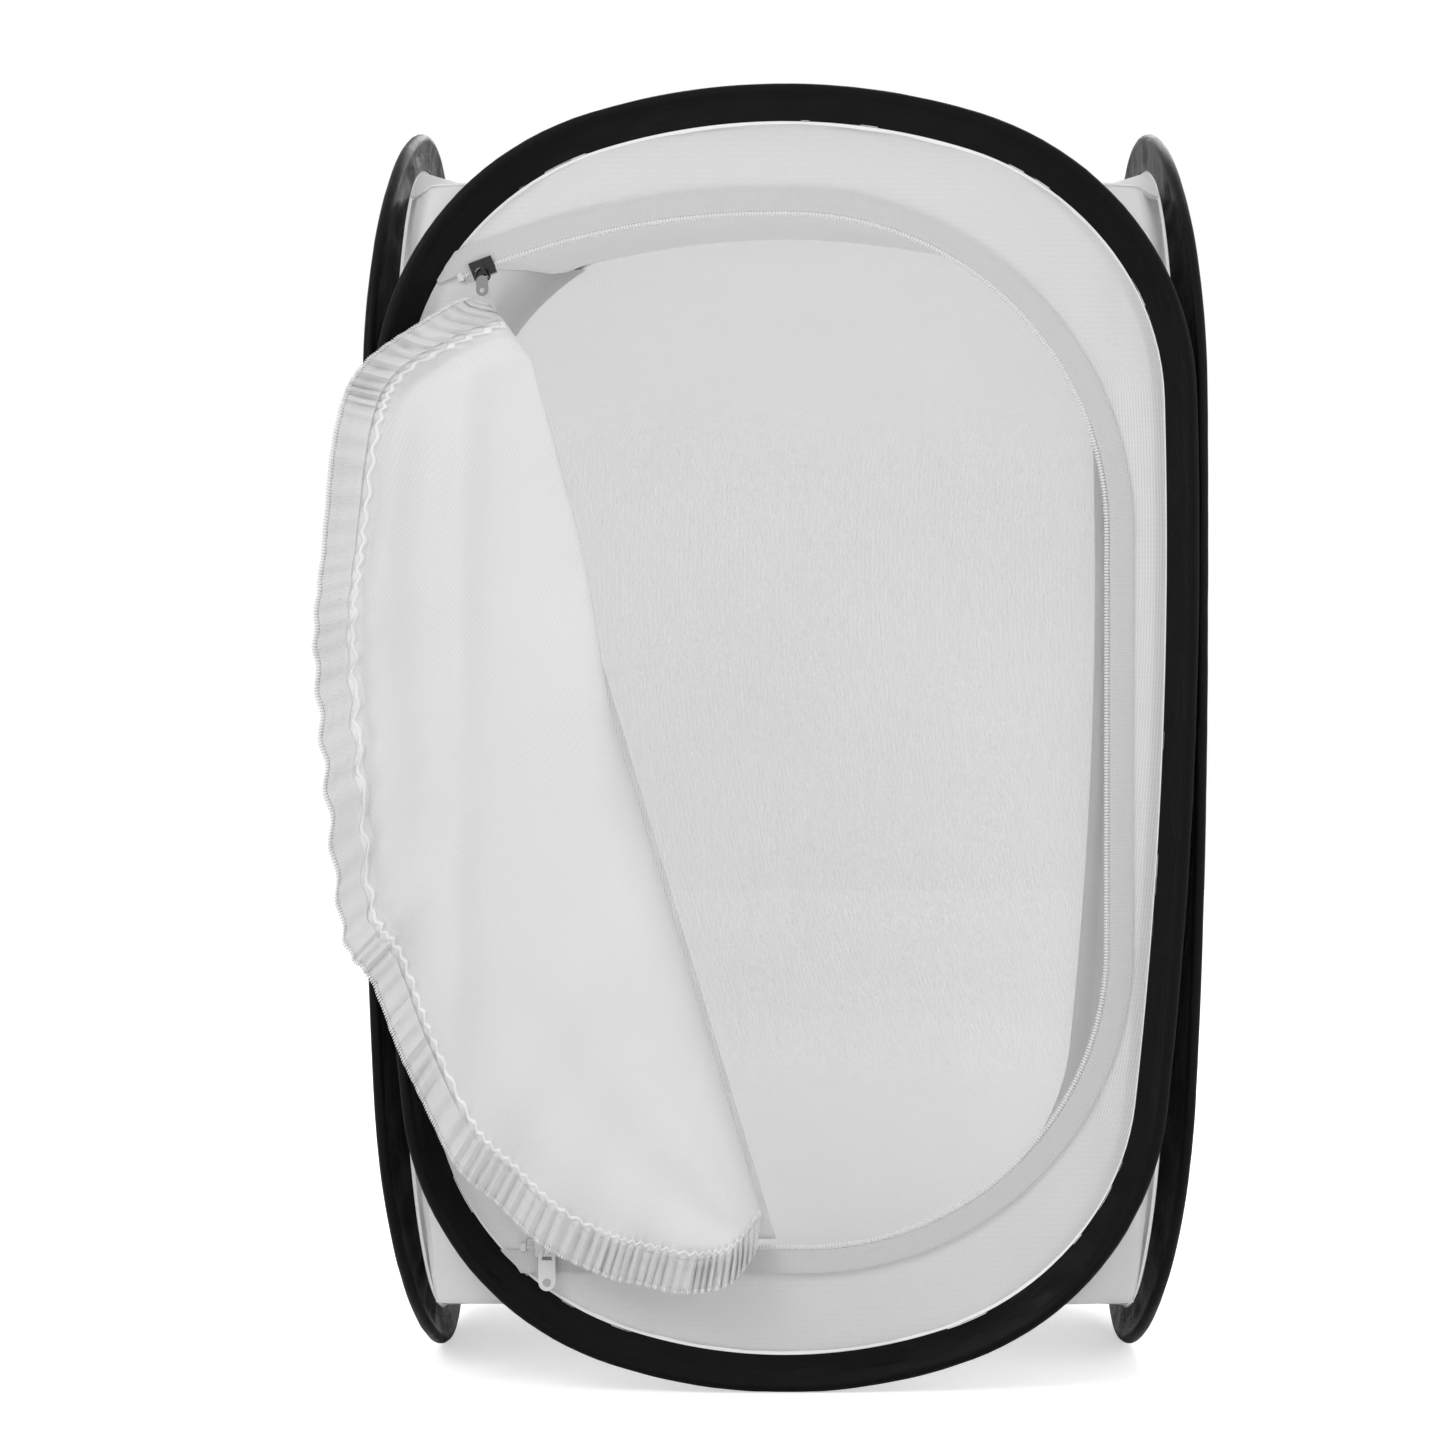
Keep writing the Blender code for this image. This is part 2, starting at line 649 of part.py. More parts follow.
def patch_point(a, b, top):
    """Top or floor panel surface at shares a and b, from -1 to 1, of its half width and depth."""
    corner = patch_reach(top)
    x = a * (corner + (side_reach(b * corner, top) - corner) * abs(a))
    y = b * (corner + (side_reach(a * corner, top) - corner) * abs(b))
    corner_height = edge_height(corner, top)
    height = edge_height(a * corner, top) + edge_height(b * corner, top) - corner_height
    middle = 2 * edge_height(0, top) - corner_height
    slack = (1 - a ** 2) * (1 - b ** 2)
    if top:
        height -= (middle - edge_height(0, top) + TOP_SAG) * slack
        return Vector((x, y, height))
    height -= (middle - PANEL_THICKNESS / 2) * slack
    flat = max(abs(x), abs(y)) <= FLOOR_FLAT_HALF
    height = PANEL_THICKNESS / 2 if flat else max(height, PANEL_THICKNESS / 2)
    return Vector((x, y, height))


def patch_rows(top):
    bend = knee(top) / patch_reach(top)
    shares = [-1 + (1 - bend) * i / PATCH_OUTER_CELLS for i in range(PATCH_OUTER_CELLS)]
    shares += [bend * (2 * i / PATCH_INNER_CELLS - 1) for i in range(PATCH_INNER_CELLS + 1)]
    shares += [bend + (1 - bend) * (i + 1) / PATCH_OUTER_CELLS for i in range(PATCH_OUTER_CELLS)]
    return [[patch_point(a, b, top) for a in shares] for b in shares]


def corner_line(z, top):
    """Distance from the middle, in x and in y alike, of the fabric box's upright corner edge."""
    if top:
        start, end = WIDEST_HEIGHT, TOP_CORNER_HEIGHT
        reach = TOP_CORNER_REACH
    else:
        start, end = WIDEST_HEIGHT, FLOOR_CORNER_HEIGHT
        reach = FLOOR_CORNER_REACH
    share = min(max((z - start) / (end - start), 0), 1)
    seam = FACE_DEPTH - LEG_HALF - SEW_GAP
    return seam + (reach - seam) * share ** 2


def sewn_point(z):
    """Inner end of the sleeve at a height on the right side of the front hoop."""
    points = [station[1] for station in STATIONS[:BOTTOM_INDEX + 1]]
    for first, second in zip(points, points[1:]):
        if second.z <= z <= first.z:
            share = (first.z - z) / (first.z - second.z)
            return first.lerp(second, share)
    return points[0] if z > points[0].z else points[-1]


def corner_rows(low, high, steps):
    """Rows of the folded fabric strip in the front right corner, from one face's sleeve to the next."""
    rows = []
    inset = LEG_HALF + PIECE_GAP + SEAM_TAPE_THICKNESS / 2
    for step in range(steps + 1):
        z = low + (high - low) * step / steps
        upper = z > WIDEST_HEIGHT
        sewn = sewn_point(z)
        depth = -sewn.y - inset
        corner = min(corner_line(z, upper), depth)
        u = sewn.x - SEAM_MARGIN
        rows.append([
            Vector((u, -depth, z)),
            Vector((corner, -corner, z)),
            Vector((depth, -u, z)),
        ])
    return rows


# Sliders, pulls and end stops

def frame_at(point, along):
    """A placing matrix: x along the zip, y into the cage, z square to both."""
    x = Vector((along[0], 0, along[1])).normalized()
    y = Vector((0, 1, 0))
    z = x.cross(y)
    return Matrix.Translation(point) @ Matrix((x, y, z)).transposed().to_4x4()


def box_mesh(name, frame, low, high):
    size = Vector(high) - Vector(low)
    middle = (Vector(high) + Vector(low)) / 2
    bm = bmesh.new()
    place = frame @ Matrix.Translation(middle) @ Matrix.Diagonal((*size, 1))
    bmesh.ops.create_cube(bm, size=1, matrix=place)
    return mesh_from(name, bm)


def join(piece, other):
    boolean = piece.modifiers.new("Join", "BOOLEAN")
    boolean.operation = "UNION"
    boolean.solver = "EXACT"
    boolean.object = other
    return piece


def build_slider(name, frame, side, parent):
    """A slider, open to one side of the coil: two plates and a web, and an arch in front for the pull."""
    half = SLIDER_LENGTH / 2
    inner = SLIDER_INNER + SLIDER_WEB
    outer = COIL_WIDTH / 2 + SLIDER_LIP
    reach = (-inner, outer) if side > 0 else (-outer, inner)
    front = -SLIDER_HEIGHT / 2
    body = add_object(name, box_mesh(name, frame, (-half, front, reach[0]), (half, -front, reach[1])),
                      "black_metal", 0, parent)
    arch_front = front - WINDOW_HEIGHT - ARCH_BAR
    arch = box_mesh(f"{name}_arch", frame, (-ARCH_WIDTH / 2, arch_front, -ARCH_LENGTH / 2),
                    (ARCH_WIDTH / 2, front + SLIDER_PLATE / 2, ARCH_LENGTH / 2))
    join(body, make_cutter(f"{name}_arch", arch))
    window = box_mesh(f"{name}_window", frame, (-ARCH_WIDTH, front - WINDOW_HEIGHT, -WINDOW_LENGTH / 2),
                      (ARCH_WIDTH, front, WINDOW_LENGTH / 2))
    cut(body, make_cutter(f"{name}_window", window))
    low = -SLIDER_INNER if side > 0 else -2 * outer
    high = 2 * outer if side > 0 else SLIDER_INNER
    channel = box_mesh(f"{name}_channel", frame, (-SLIDER_LENGTH, -SLIDER_BORE / 2, low),
                       (SLIDER_LENGTH, SLIDER_BORE / 2, high))
    cut(body, make_cutter(f"{name}_channel", channel))
    return body


def pull_frame(frame):
    """The pull's hinge line, level, in the middle of the arch's window."""
    hinge = frame @ Vector((0, -SLIDER_HEIGHT / 2 - WINDOW_HEIGHT / 2, 0))
    return frame_at(hinge, (1, 0))


def ring_mesh(name, frame, radius, wire):
    """A round ring in the plane of the face."""
    rings = []
    for step in range(RING_SIDES):
        angle = 2 * pi * step / RING_SIDES
        ring = []
        for side in range(RING_WIRE_SIDES):
            turn = 2 * pi * side / RING_WIRE_SIDES
            reach = radius + wire * cos(turn)
            ring.append(frame @ Vector((reach * cos(angle), wire * sin(turn), reach * sin(angle))))
        rings.append(ring)
    return loft(name, rings, True)


def flat_outline(name, loops, thickness):
    """A flat plate in the XY plane from closed outlines, the later ones as holes."""
    curve = bpy.data.curves.new(name, "CURVE")
    curve.dimensions = "2D"
    curve.fill_mode = "BOTH"
    curve.extrude = thickness / 2
    for loop in loops:
        spline = curve.splines.new("POLY")
        spline.points.add(len(loop) - 1)
        for slot, (x, y) in zip(spline.points, loop):
            slot.co = (x, y, 0, 1)
        spline.use_cyclic_u = True
    return curve


def round_ended(width, top, bottom):
    """Outline of a plate with half-round ends, between two heights."""
    radius = width / 2
    points = []
    for centre, start in ((top - radius, 0), (bottom + radius, pi)):
        for step in range(ARC_SIDES + 1):
            angle = start + pi * step / ARC_SIDES
            points.append((radius * cos(angle), centre + radius * sin(angle)))
    return points


def circle(radius, height):
    turn = 2 * pi / (2 * ARC_SIDES)
    return [(radius * cos(i * turn), height + radius * sin(i * turn)) for i in range(2 * ARC_SIDES)]


def place_plate(name, loops, thickness, slot, frame, parent):
    """Stand a flat plate in the face's plane at a frame."""
    piece = add_object(name, flat_outline(name, loops, thickness), slot, 0, parent)
    place = frame @ Matrix.Rotation(QUARTER, 4, "X")
    piece.matrix_basis = place
    return piece


def build_end_stop(name, place, along, parent):
    """A small moulded block over the coil's end."""
    point, normal = place
    frame = frame_at(on_face(*point, zip_depth(point[1])), along)
    mesh = box_mesh(name, frame, (PIECE_GAP, -SLIDER_BORE / 2, -END_STOP_WIDTH / 2),
                    (PIECE_GAP + END_STOP_LENGTH, SLIDER_BORE / 2, END_STOP_WIDTH / 2))
    return add_object(name, mesh, "coil", 0, parent)


def build_zip(front):
    """Frame tape, coil, end stops, and the two sliders with their pulls."""
    gap = COIL_WIDTH / 2 + PIECE_GAP
    tape = zip_strip("zip_frame_tape", gap, TAPE_WIDTH, TAPE_THICKNESS, TAPE_END_SHARE)
    add_object("zip_frame_tape", tape, "tape", 0, front)
    coil = zip_strip("zip_frame_coil", -COIL_WIDTH / 2, COIL_WIDTH / 2, COIL_THICKNESS)
    add_object("zip_frame_coil", coil, "coil", 0, front)
    first, last = ZIP_LINE[0], ZIP_LINE[-1]
    build_end_stop("upper_end_stop", first, (-first[1][1], first[1][0]), front)
    build_end_stop("lower_end_stop", last, (-1, 0), front)

    along = (FOLD_TOP_NORMAL[1], -FOLD_TOP_NORMAL[0])
    upper = frame_at(on_face(*FOLD_TOP, zip_depth(FOLD_TOP[1])), along)
    run = make_axis("upper_slider_axis", on_face(*ZIP_TOP_CENTRE, zip_depth(FOLD_TOP[1])), front)
    build_slider("upper_slider", upper, 1, run)
    hinge = pull_frame(upper)
    axis = make_axis("upper_pull_axis", hinge.translation, run)
    ring_frame = hinge @ Matrix.Translation((0, 0, -RING_RADIUS))
    add_object("upper_pull_ring", ring_mesh("upper_pull_ring", ring_frame, RING_RADIUS, RING_WIRE_RADIUS),
               "black_metal", 0, axis)
    tab_lift = RING_WIRE_RADIUS + PIECE_GAP + TAB_THICKNESS / 2
    tab_frame = hinge @ Matrix.Translation((0, -tab_lift, -2 * RING_RADIUS + TAB_WIDTH / 2))
    loops = [round_ended(TAB_WIDTH, 0, -TAB_LENGTH), circle(TAB_WIDTH / 5, -TAB_LENGTH + TAB_WIDTH / 2)]
    place_plate("upper_pull_tab", loops, TAB_THICKNESS, "chrome", tab_frame, axis)

    point = on_face(ZIP_BOTTOM_END, ZIP_BOTTOM, zip_depth(ZIP_BOTTOM))
    lower = frame_at(point, (1, 0))
    run = make_axis("lower_slider_axis", lower.translation, front)
    build_slider("lower_slider", lower, -1, run)
    hinge = pull_frame(lower)
    top = LOWER_TAB_RIM / 2
    eye = LOWER_TAB_WIDTH / 2 - LOWER_TAB_RIM
    eye_low = -top - LOWER_TAB_EYE_LENGTH
    loops = [
        round_ended(LOWER_TAB_WIDTH, top, top - LOWER_TAB_LENGTH),
        [(-eye, eye_low), (eye, eye_low), (eye / 2, -top), (-eye / 2, -top)],
        circle(LOWER_TAB_HOLE_RADIUS, top - LOWER_TAB_LENGTH + LOWER_TAB_WIDTH / 2),
    ]
    axis = make_axis("lower_pull_axis", hinge.translation, run)
    place_plate("lower_pull_tab", loops, TAB_THICKNESS, "clear_pull", hinge, axis)


def build_corners(empties):
    """Gussets and upright seams of the four corners, as folded strips of fabric."""
    top = TOP_CORNER_HEIGHT - PANEL_THICKNESS - PIECE_GAP
    bottom = FLOOR_CORNER_HEIGHT + PANEL_THICKNESS + PIECE_GAP
    gap = PANEL_THICKNESS / 2 + PIECE_GAP
    strips = (
        ("top_gusset", GUSSET_START_HEIGHT + gap, top, GUSSET_STEPS),
        ("corner_seam", LOWER_GUSSET_HEIGHT + gap, GUSSET_START_HEIGHT - gap, SEAM_STEPS),
        ("bottom_gusset", bottom, LOWER_GUSSET_HEIGHT - gap, GUSSET_STEPS),
    )
    for kind, low, high, steps in strips:
        mesh = sheet(kind, corner_rows(low, high, steps))
        for corner, turn in CORNER_TURNS.items():
            body = empties[CORNER_BODIES[corner]]
            thicken(add_object(f"{corner}_{kind}", mesh, "solid_fabric", turn, body), SEAM_TAPE_THICKNESS)


def build_door(front):
    """The hanging flap with its gathered tape and coil, turning about the fold line."""
    ends = [on_face(u, z, face_depth(z) + FLAP_THICKNESS) for u, z in (FOLD_TOP, FOLD_FOOT)]
    axis = make_axis("door_axis", (ends[0] + ends[1]) / 2, front)
    flap = add_object("door_flap", sheet("door_flap", flap_rows()), "flap", 0, axis)
    thicken(flap, FLAP_THICKNESS)
    lift = FLAP_THICKNESS / 2 + FLAP_TAPE_GAP + TAPE_THICKNESS / 2
    tape = flap_edge_strip("zip_door_tape", (None, 0), TAPE_THICKNESS, lift)
    add_object("zip_door_tape", tape, "tape", 0, axis)
    coil = flap_edge_strip("zip_door_coil", (PIECE_GAP, PIECE_GAP + COIL_WIDTH), COIL_THICKNESS, lift)
    add_object("zip_door_coil", coil, "coil", 0, axis)


def build_frame(empties):
    """The four hoops with their sleeves, ferrules and face panels."""
    sleeve = make_sleeve_mesh()
    wire = make_wire_curve()
    ferrule = make_ferrule_mesh()
    panel = sheet("face_panel", face_rows())
    for face, turn in FACE_TURNS.items():
        parent = empties[face]
        add_object(f"{face}_hoop_sleeve", sleeve, "sleeve", turn, parent)
        add_object(f"{face}_hoop_wire", wire, "steel", turn, parent)
        add_object(f"{face}_wire_ferrule", ferrule, "steel", turn, parent)
        piece = add_object(f"{face}_panel", panel, "mesh", turn, parent)
        thicken(piece, PANEL_THICKNESS)
        if face == "front":
            cut(piece, make_cutter("door_opening", door_cutter_mesh()))


def main():
    front = make_axis("front_frame_axis", Vector((0, 0, 0)))
    left = make_axis("left_fold_axis", Vector((-CLOSING_AXIS, -CLOSING_AXIS, 0)), front)
    right = make_axis("right_fold_axis", Vector((OPENING_AXIS, -OPENING_AXIS, 0)), front)
    back = make_axis("back_fold_axis", Vector((-OPENING_AXIS, OPENING_AXIS, 0)), left)
    empties = {"front": front, "left": left, "right": right, "back": back}
    build_frame(empties)
    build_zip(front)
    build_corners(empties)
    build_door(front)
    for name, top in (("top_panel", True), ("floor_panel", False)):
        panel = add_object(name, sheet(name, patch_rows(top)), "solid_fabric", 0, front)
        thicken(panel, PANEL_THICKNESS)


main()
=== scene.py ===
# %% [markdown]
# # A pop-up insect cage
# The real object is a fabric box that four closed hoops of spring wire hold open.
# The hoops, panels and door already exist as a measured model, which is loaded here as a fixed frame.
# This file dresses that frame: each cloth solid is replaced by a thin sewn sheet of the same form.

# %% Load the measured model
from math import atan2, cos, exp, hypot, pi, radians, sin, sqrt

import bpy
import bmesh
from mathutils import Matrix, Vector, noise


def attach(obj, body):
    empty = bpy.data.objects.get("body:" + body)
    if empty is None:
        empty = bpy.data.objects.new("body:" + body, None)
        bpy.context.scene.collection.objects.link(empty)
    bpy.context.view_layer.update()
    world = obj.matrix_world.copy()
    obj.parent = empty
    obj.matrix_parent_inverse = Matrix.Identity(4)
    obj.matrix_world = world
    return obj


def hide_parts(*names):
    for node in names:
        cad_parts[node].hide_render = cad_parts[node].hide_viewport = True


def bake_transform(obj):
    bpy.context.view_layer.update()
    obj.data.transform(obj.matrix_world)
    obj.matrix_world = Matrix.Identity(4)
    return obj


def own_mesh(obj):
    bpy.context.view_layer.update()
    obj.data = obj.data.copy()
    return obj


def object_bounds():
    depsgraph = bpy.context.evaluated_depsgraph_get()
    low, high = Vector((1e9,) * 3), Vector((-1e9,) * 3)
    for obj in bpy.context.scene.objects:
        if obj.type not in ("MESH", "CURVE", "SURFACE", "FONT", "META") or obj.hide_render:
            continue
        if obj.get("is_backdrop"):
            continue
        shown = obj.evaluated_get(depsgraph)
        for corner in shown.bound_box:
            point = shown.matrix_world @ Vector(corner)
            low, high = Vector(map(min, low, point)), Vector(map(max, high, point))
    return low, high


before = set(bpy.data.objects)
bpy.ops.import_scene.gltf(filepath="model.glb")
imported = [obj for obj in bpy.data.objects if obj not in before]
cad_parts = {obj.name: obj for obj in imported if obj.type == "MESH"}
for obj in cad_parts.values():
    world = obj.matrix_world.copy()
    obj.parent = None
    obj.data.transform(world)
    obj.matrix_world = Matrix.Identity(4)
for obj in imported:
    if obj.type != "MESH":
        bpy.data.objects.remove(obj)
cad_box = [list(corner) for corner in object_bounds()]
scene = bpy.context.scene
scene.view_settings.view_transform = "Standard"

# %% [markdown]
# ## Camera
# The three hoop heights in the picture fix the viewpoint: 1.83 m in front of the front face,
# level, at half the cage's height. The object stands a little right of the middle of the frame,
# which is a small shift of the lens and not a turn of the camera.

# %% Camera
FRONT_FACE = 0.190
lens = bpy.data.cameras.new("camera")
lens.lens = 100.4
lens.sensor_width = 36
lens.shift_x = -0.0432
lens.shift_y = 0.0114
camera = bpy.data.objects.new("camera", lens)
camera.location = (0, -2.022, 0.300)
camera.rotation_euler = (radians(90), 0, 0)
scene.collection.objects.link(camera)
scene.camera = camera
print("camera distance to the front face, mm:", round((camera.location.y + FRONT_FACE) * -1000))

# %% [markdown]
# ## Light
# A plain studio: even light from all round, one broad lamp from the upper left, a weaker one from
# the right, and one behind the cage that makes the netting glow. The world looks white to the
# camera, and in gloss, but lights the cloth less, so white mesh stays a light grey with its folds
# readable.

# %% Studio light
world = bpy.data.worlds.new("studio")
scene.world = world
world.use_nodes = True
nodes = world.node_tree.nodes
links = world.node_tree.links
nodes.clear()
rays = nodes.new("ShaderNodeLightPath")
seen = rays.outputs["Is Camera Ray"]
for ray in ("Is Glossy Ray", "Is Transmission Ray"):
    larger = nodes.new("ShaderNodeMath")
    larger.operation = "MAXIMUM"
    links.new(seen, larger.inputs[0])
    links.new(rays.outputs[ray], larger.inputs[1])
    seen = larger.outputs[0]
either = nodes.new("ShaderNodeMixShader")
links.new(seen, either.inputs["Fac"])
for slot, strength in ((1, 0.80), (2, 1)):
    background = nodes.new("ShaderNodeBackground")
    background.inputs["Color"].default_value = (1, 1, 1, 1)
    background.inputs["Strength"].default_value = strength
    links.new(background.outputs[0], either.inputs[slot])
sky = nodes.new("ShaderNodeOutputWorld")
links.new(either.outputs[0], sky.inputs["Surface"])

LAMP_SIZE = 1.2
CAGE_MIDDLE = Vector((0, 0, 0.3))


def lamp(name, place, power):
    """A square soft lamp at a place, turned to face the cage's middle."""
    data = bpy.data.lights.new(name, "AREA")
    data.size = LAMP_SIZE
    data.energy = power
    piece = bpy.data.objects.new(name, data)
    piece.location = place
    piece.rotation_euler = (CAGE_MIDDLE - Vector(place)).to_track_quat("-Z", "Y").to_euler()
    scene.collection.objects.link(piece)


lamp("key_lamp", (-1.4, -1.9, 1.9), 24)
lamp("fill_lamp", (1.9, -1.3, 1.0), 8)
lamp("back_lamp", (0.4, 1.8, 1.6), 18)

# %% [markdown]
# ## Helpers for finishes
# A finish is a small graph of nodes. These helpers add one node and wire it, so that each recipe
# further down reads as a short list. Cloth is mapped by its own UV map, laid out in metres,
# so a thread is as wide on a side panel as on the door.

# %% Node helpers
def finish(name, colour, roughness, metallic=0):
    """A new material with its shader's plain values set."""
    material = bpy.data.materials.new(name)
    material.use_nodes = True
    shader = material.node_tree.nodes["Principled BSDF"]
    shader.inputs["Base Color"].default_value = (*colour, 1)
    shader.inputs["Roughness"].default_value = roughness
    shader.inputs["Metallic"].default_value = metallic
    return material, shader


def node(material, kind, **values):
    """Add a node; keys are inputs by number (i0, i1) or by name, or else properties."""
    made = material.node_tree.nodes.new(kind)
    for key, value in values.items():
        if key[0] == "i" and key[1:].isdigit():
            made.inputs[int(key[1:])].default_value = value
        elif key in made.inputs:
            made.inputs[key].default_value = value
        else:
            setattr(made, key, value)
    return made


def wire(material, start, end):
    """Join an output socket to an input socket."""
    material.node_tree.links.new(start, end)


def maths(material, operation, first, second=None):
    """A maths node on one or two sockets or numbers; returns its result."""
    made = node(material, "ShaderNodeMath", operation=operation)
    for slot, value in enumerate((first, second)):
        if value is None:
            continue
        if isinstance(value, (int, float)):
            made.inputs[slot].default_value = value
        else:
            wire(material, value, made.inputs[slot])
    return made.outputs[0]


def uv_parts(material):
    """The cloth's own two coordinates, in metres."""
    source = node(material, "ShaderNodeUVMap", uv_map="cloth")
    split = node(material, "ShaderNodeSeparateXYZ")
    wire(material, source.outputs[0], split.inputs[0])
    return split.outputs[0], split.outputs[1]


def thread(material, place, pitch, share):
    """1 on a thread and 0 between threads, for threads a pitch apart that fill a share of it."""
    turns = maths(material, "DIVIDE", place, pitch)
    swing = maths(material, "PINGPONG", turns, 0.5)
    gap = 0.5 * (1 - share)
    ramp = node(material, "ShaderNodeMapRange", i1=gap - 0.06, i2=gap + 0.06)
    wire(material, swing, ramp.inputs[0])
    return ramp.outputs[0]


def bump(material, shader, height, strength, distance):
    """Let a height pattern tilt the shader's normals."""
    made = node(material, "ShaderNodeBump", Strength=strength, Distance=distance)
    wire(material, height, made.inputs["Height"])
    wire(material, made.outputs[0], shader.inputs["Normal"])


def cloudy(material, scale, low=0, high=1, detail=3):
    """A soft noise between two values, in the object's own space."""
    place = node(material, "ShaderNodeTexCoord")
    cloud = node(material, "ShaderNodeTexNoise", Scale=scale, Detail=detail)
    wire(material, place.outputs["Object"], cloud.inputs["Vector"])
    ramp = node(material, "ShaderNodeMapRange", i1=0.3, i2=0.7, i3=low, i4=high)
    wire(material, cloud.outputs["Fac"], ramp.inputs[0])
    return ramp.outputs[0]


def two_tone(material, shader, factor, first, second):
    """Colour between two tones by a factor."""
    mix = node(material, "ShaderNodeMix", data_type="RGBA")
    for side, tone in (("A", first), ("B", second)):
        mix.inputs[side].default_value = (*tone, 1)
    wire(material, factor, mix.inputs["Factor"])
    wire(material, mix.outputs["Result"], shader.inputs["Base Color"])


def sheer(material, shader, tone, share, cover=None):
    """Thin cloth: a share of it glows with the light behind it, and open holes show what is there."""
    glow = node(material, "ShaderNodeBsdfTranslucent", Color=(*tone, 1))
    weave = node(material, "ShaderNodeMixShader", i0=share)
    wire(material, shader.outputs[0], weave.inputs[1])
    wire(material, glow.outputs[0], weave.inputs[2])
    result = weave.outputs[0]
    if cover is not None:
        holes = node(material, "ShaderNodeMixShader")
        wire(material, cover, holes.inputs[0])
        wire(material, node(material, "ShaderNodeBsdfTransparent").outputs[0], holes.inputs[1])
        wire(material, result, holes.inputs[2])
        result = holes.outputs[0]
    wire(material, result, material.node_tree.nodes["Material Output"].inputs["Surface"])


print("helpers ready")

# %% [markdown]
# ## Cloth finishes
# The faces are a knitted white netting: crossing threads with see-through holes, so the back hoop
# shows faintly through it. The gussets, top and floor are a plain woven polyester, thinner and
# closer. The sleeve is a black satin tape with a fine slanting twill, a row of stitches near its
# sewn edge, and a soft shine.

# %% Netting, plain cloth and sleeve tape
def netting(name, tone, pitch, share, veil, glow):
    """See-through netting: upright ribs, finer crosswise threads, and a veil of fluff in the holes."""
    material, shader = finish(name, tone, 0.75)
    shader.inputs["Sheen Weight"].default_value = 0.2
    across, along = uv_parts(material)
    ribs = thread(material, across, pitch, share)
    rungs = maths(material, "MULTIPLY", thread(material, along, pitch * 0.8, share), 0.6)
    crossing = maths(material, "MAXIMUM", ribs, rungs)
    ramp = node(material, "ShaderNodeMapRange", i3=veil, i4=1.0)
    wire(material, crossing, ramp.inputs[0])
    bump(material, shader, crossing, 0.25, 0.0002)
    two_tone(material, shader, cloudy(material, 9), tone, tuple(c * 0.95 for c in tone))
    sheer(material, shader, tone, glow, ramp.outputs[0])
    return material


def plain_weave(name, tone, pitch, glow):
    """A close woven white cloth, with a faint grain and soft uneven tone."""
    material, shader = finish(name, tone, 0.7)
    shader.inputs["Sheen Weight"].default_value = 0.2
    across, along = uv_parts(material)
    threads = [thread(material, way, pitch, 0.6) for way in (across, along)]
    grain = maths(material, "ADD", *threads)
    creases = maths(material, "MULTIPLY", cloudy(material, 55), 4)
    bump(material, shader, maths(material, "ADD", grain, creases), 0.3, 0.00015)
    two_tone(material, shader, cloudy(material, 14), tone, tuple(c * 0.93 for c in tone))
    sheer(material, shader, tone, glow)
    return material


def stitches(material, across, along, places, half_width, pitch, share):
    """Rows of machine stitches along a tape, at some places of its width."""
    rows = None
    for place in places:
        row = maths(material, "COMPARE", across, place)
        row.node.inputs[2].default_value = half_width
        rows = row if rows is None else maths(material, "ADD", rows, row)
    return maths(material, "MULTIPLY", rows, thread(material, along, pitch, share))


def satin_tape(name):
    """Black satin tape: slanting twill, a stitched row near the sewn edge, creases, a soft shine."""
    material, shader = finish(name, (0.0030, 0.0030, 0.0033), 0.42)
    shader.inputs["Specular IOR Level"].default_value = 0.09
    across, along = uv_parts(material)
    slant = maths(material, "ADD", across, maths(material, "MULTIPLY", along, 0.8))
    twill = thread(material, slant, 0.0005, 0.6)
    stitch = stitches(material, across, along, (0.0150,), 0.0004, 0.0032, 0.78)
    stretched = node(material, "ShaderNodeCombineXYZ")
    wire(material, maths(material, "MULTIPLY", across, 170), stretched.inputs[0])
    wire(material, maths(material, "MULTIPLY", along, 26), stretched.inputs[1])
    crease = node(material, "ShaderNodeTexNoise", Scale=1, Distortion=1.2)
    wire(material, stretched.outputs[0], crease.inputs["Vector"])
    height = maths(material, "ADD", maths(material, "MULTIPLY", twill, 0.25), stitch)
    height = maths(material, "ADD", height, maths(material, "MULTIPLY", crease.outputs["Fac"], 5))
    bump(material, shader, height, 0.5, 0.0003)
    wire(material, cloudy(material, 40, 0.34, 0.50), shader.inputs["Roughness"])
    return material


white_net = netting("white_net", (0.85, 0.85, 0.85), 0.0007, 0.45, 0.46, 0.48)
door_net = netting("door_net", (0.90, 0.90, 0.90), 0.0006, 0.50, 0.62, 0.36)
white_cloth = plain_weave("white_cloth", (0.87, 0.87, 0.87), 0.0006, 0.48)
hem_cloth = plain_weave("hem_cloth", (0.90, 0.90, 0.90), 0.0005, 0.10)
sleeve_tape = satin_tape("sleeve_tape")
print("cloth finishes:", [m.name for m in (white_net, door_net, white_cloth, hem_cloth, sleeve_tape)])

# %% [markdown]
# ## Zip and metal finishes
# Zip tape is a dense ribbed weave with two rows of machine stitches; the coil is smooth nylon.
# The upper slider and its ring are lacquered black and its tab is chrome plate. The lower slider is
# nickel plate, with a tab of clear plastic.

# %% Tape, coil, metal and clear plastic
GRAIN_DEPTH = 0.0001


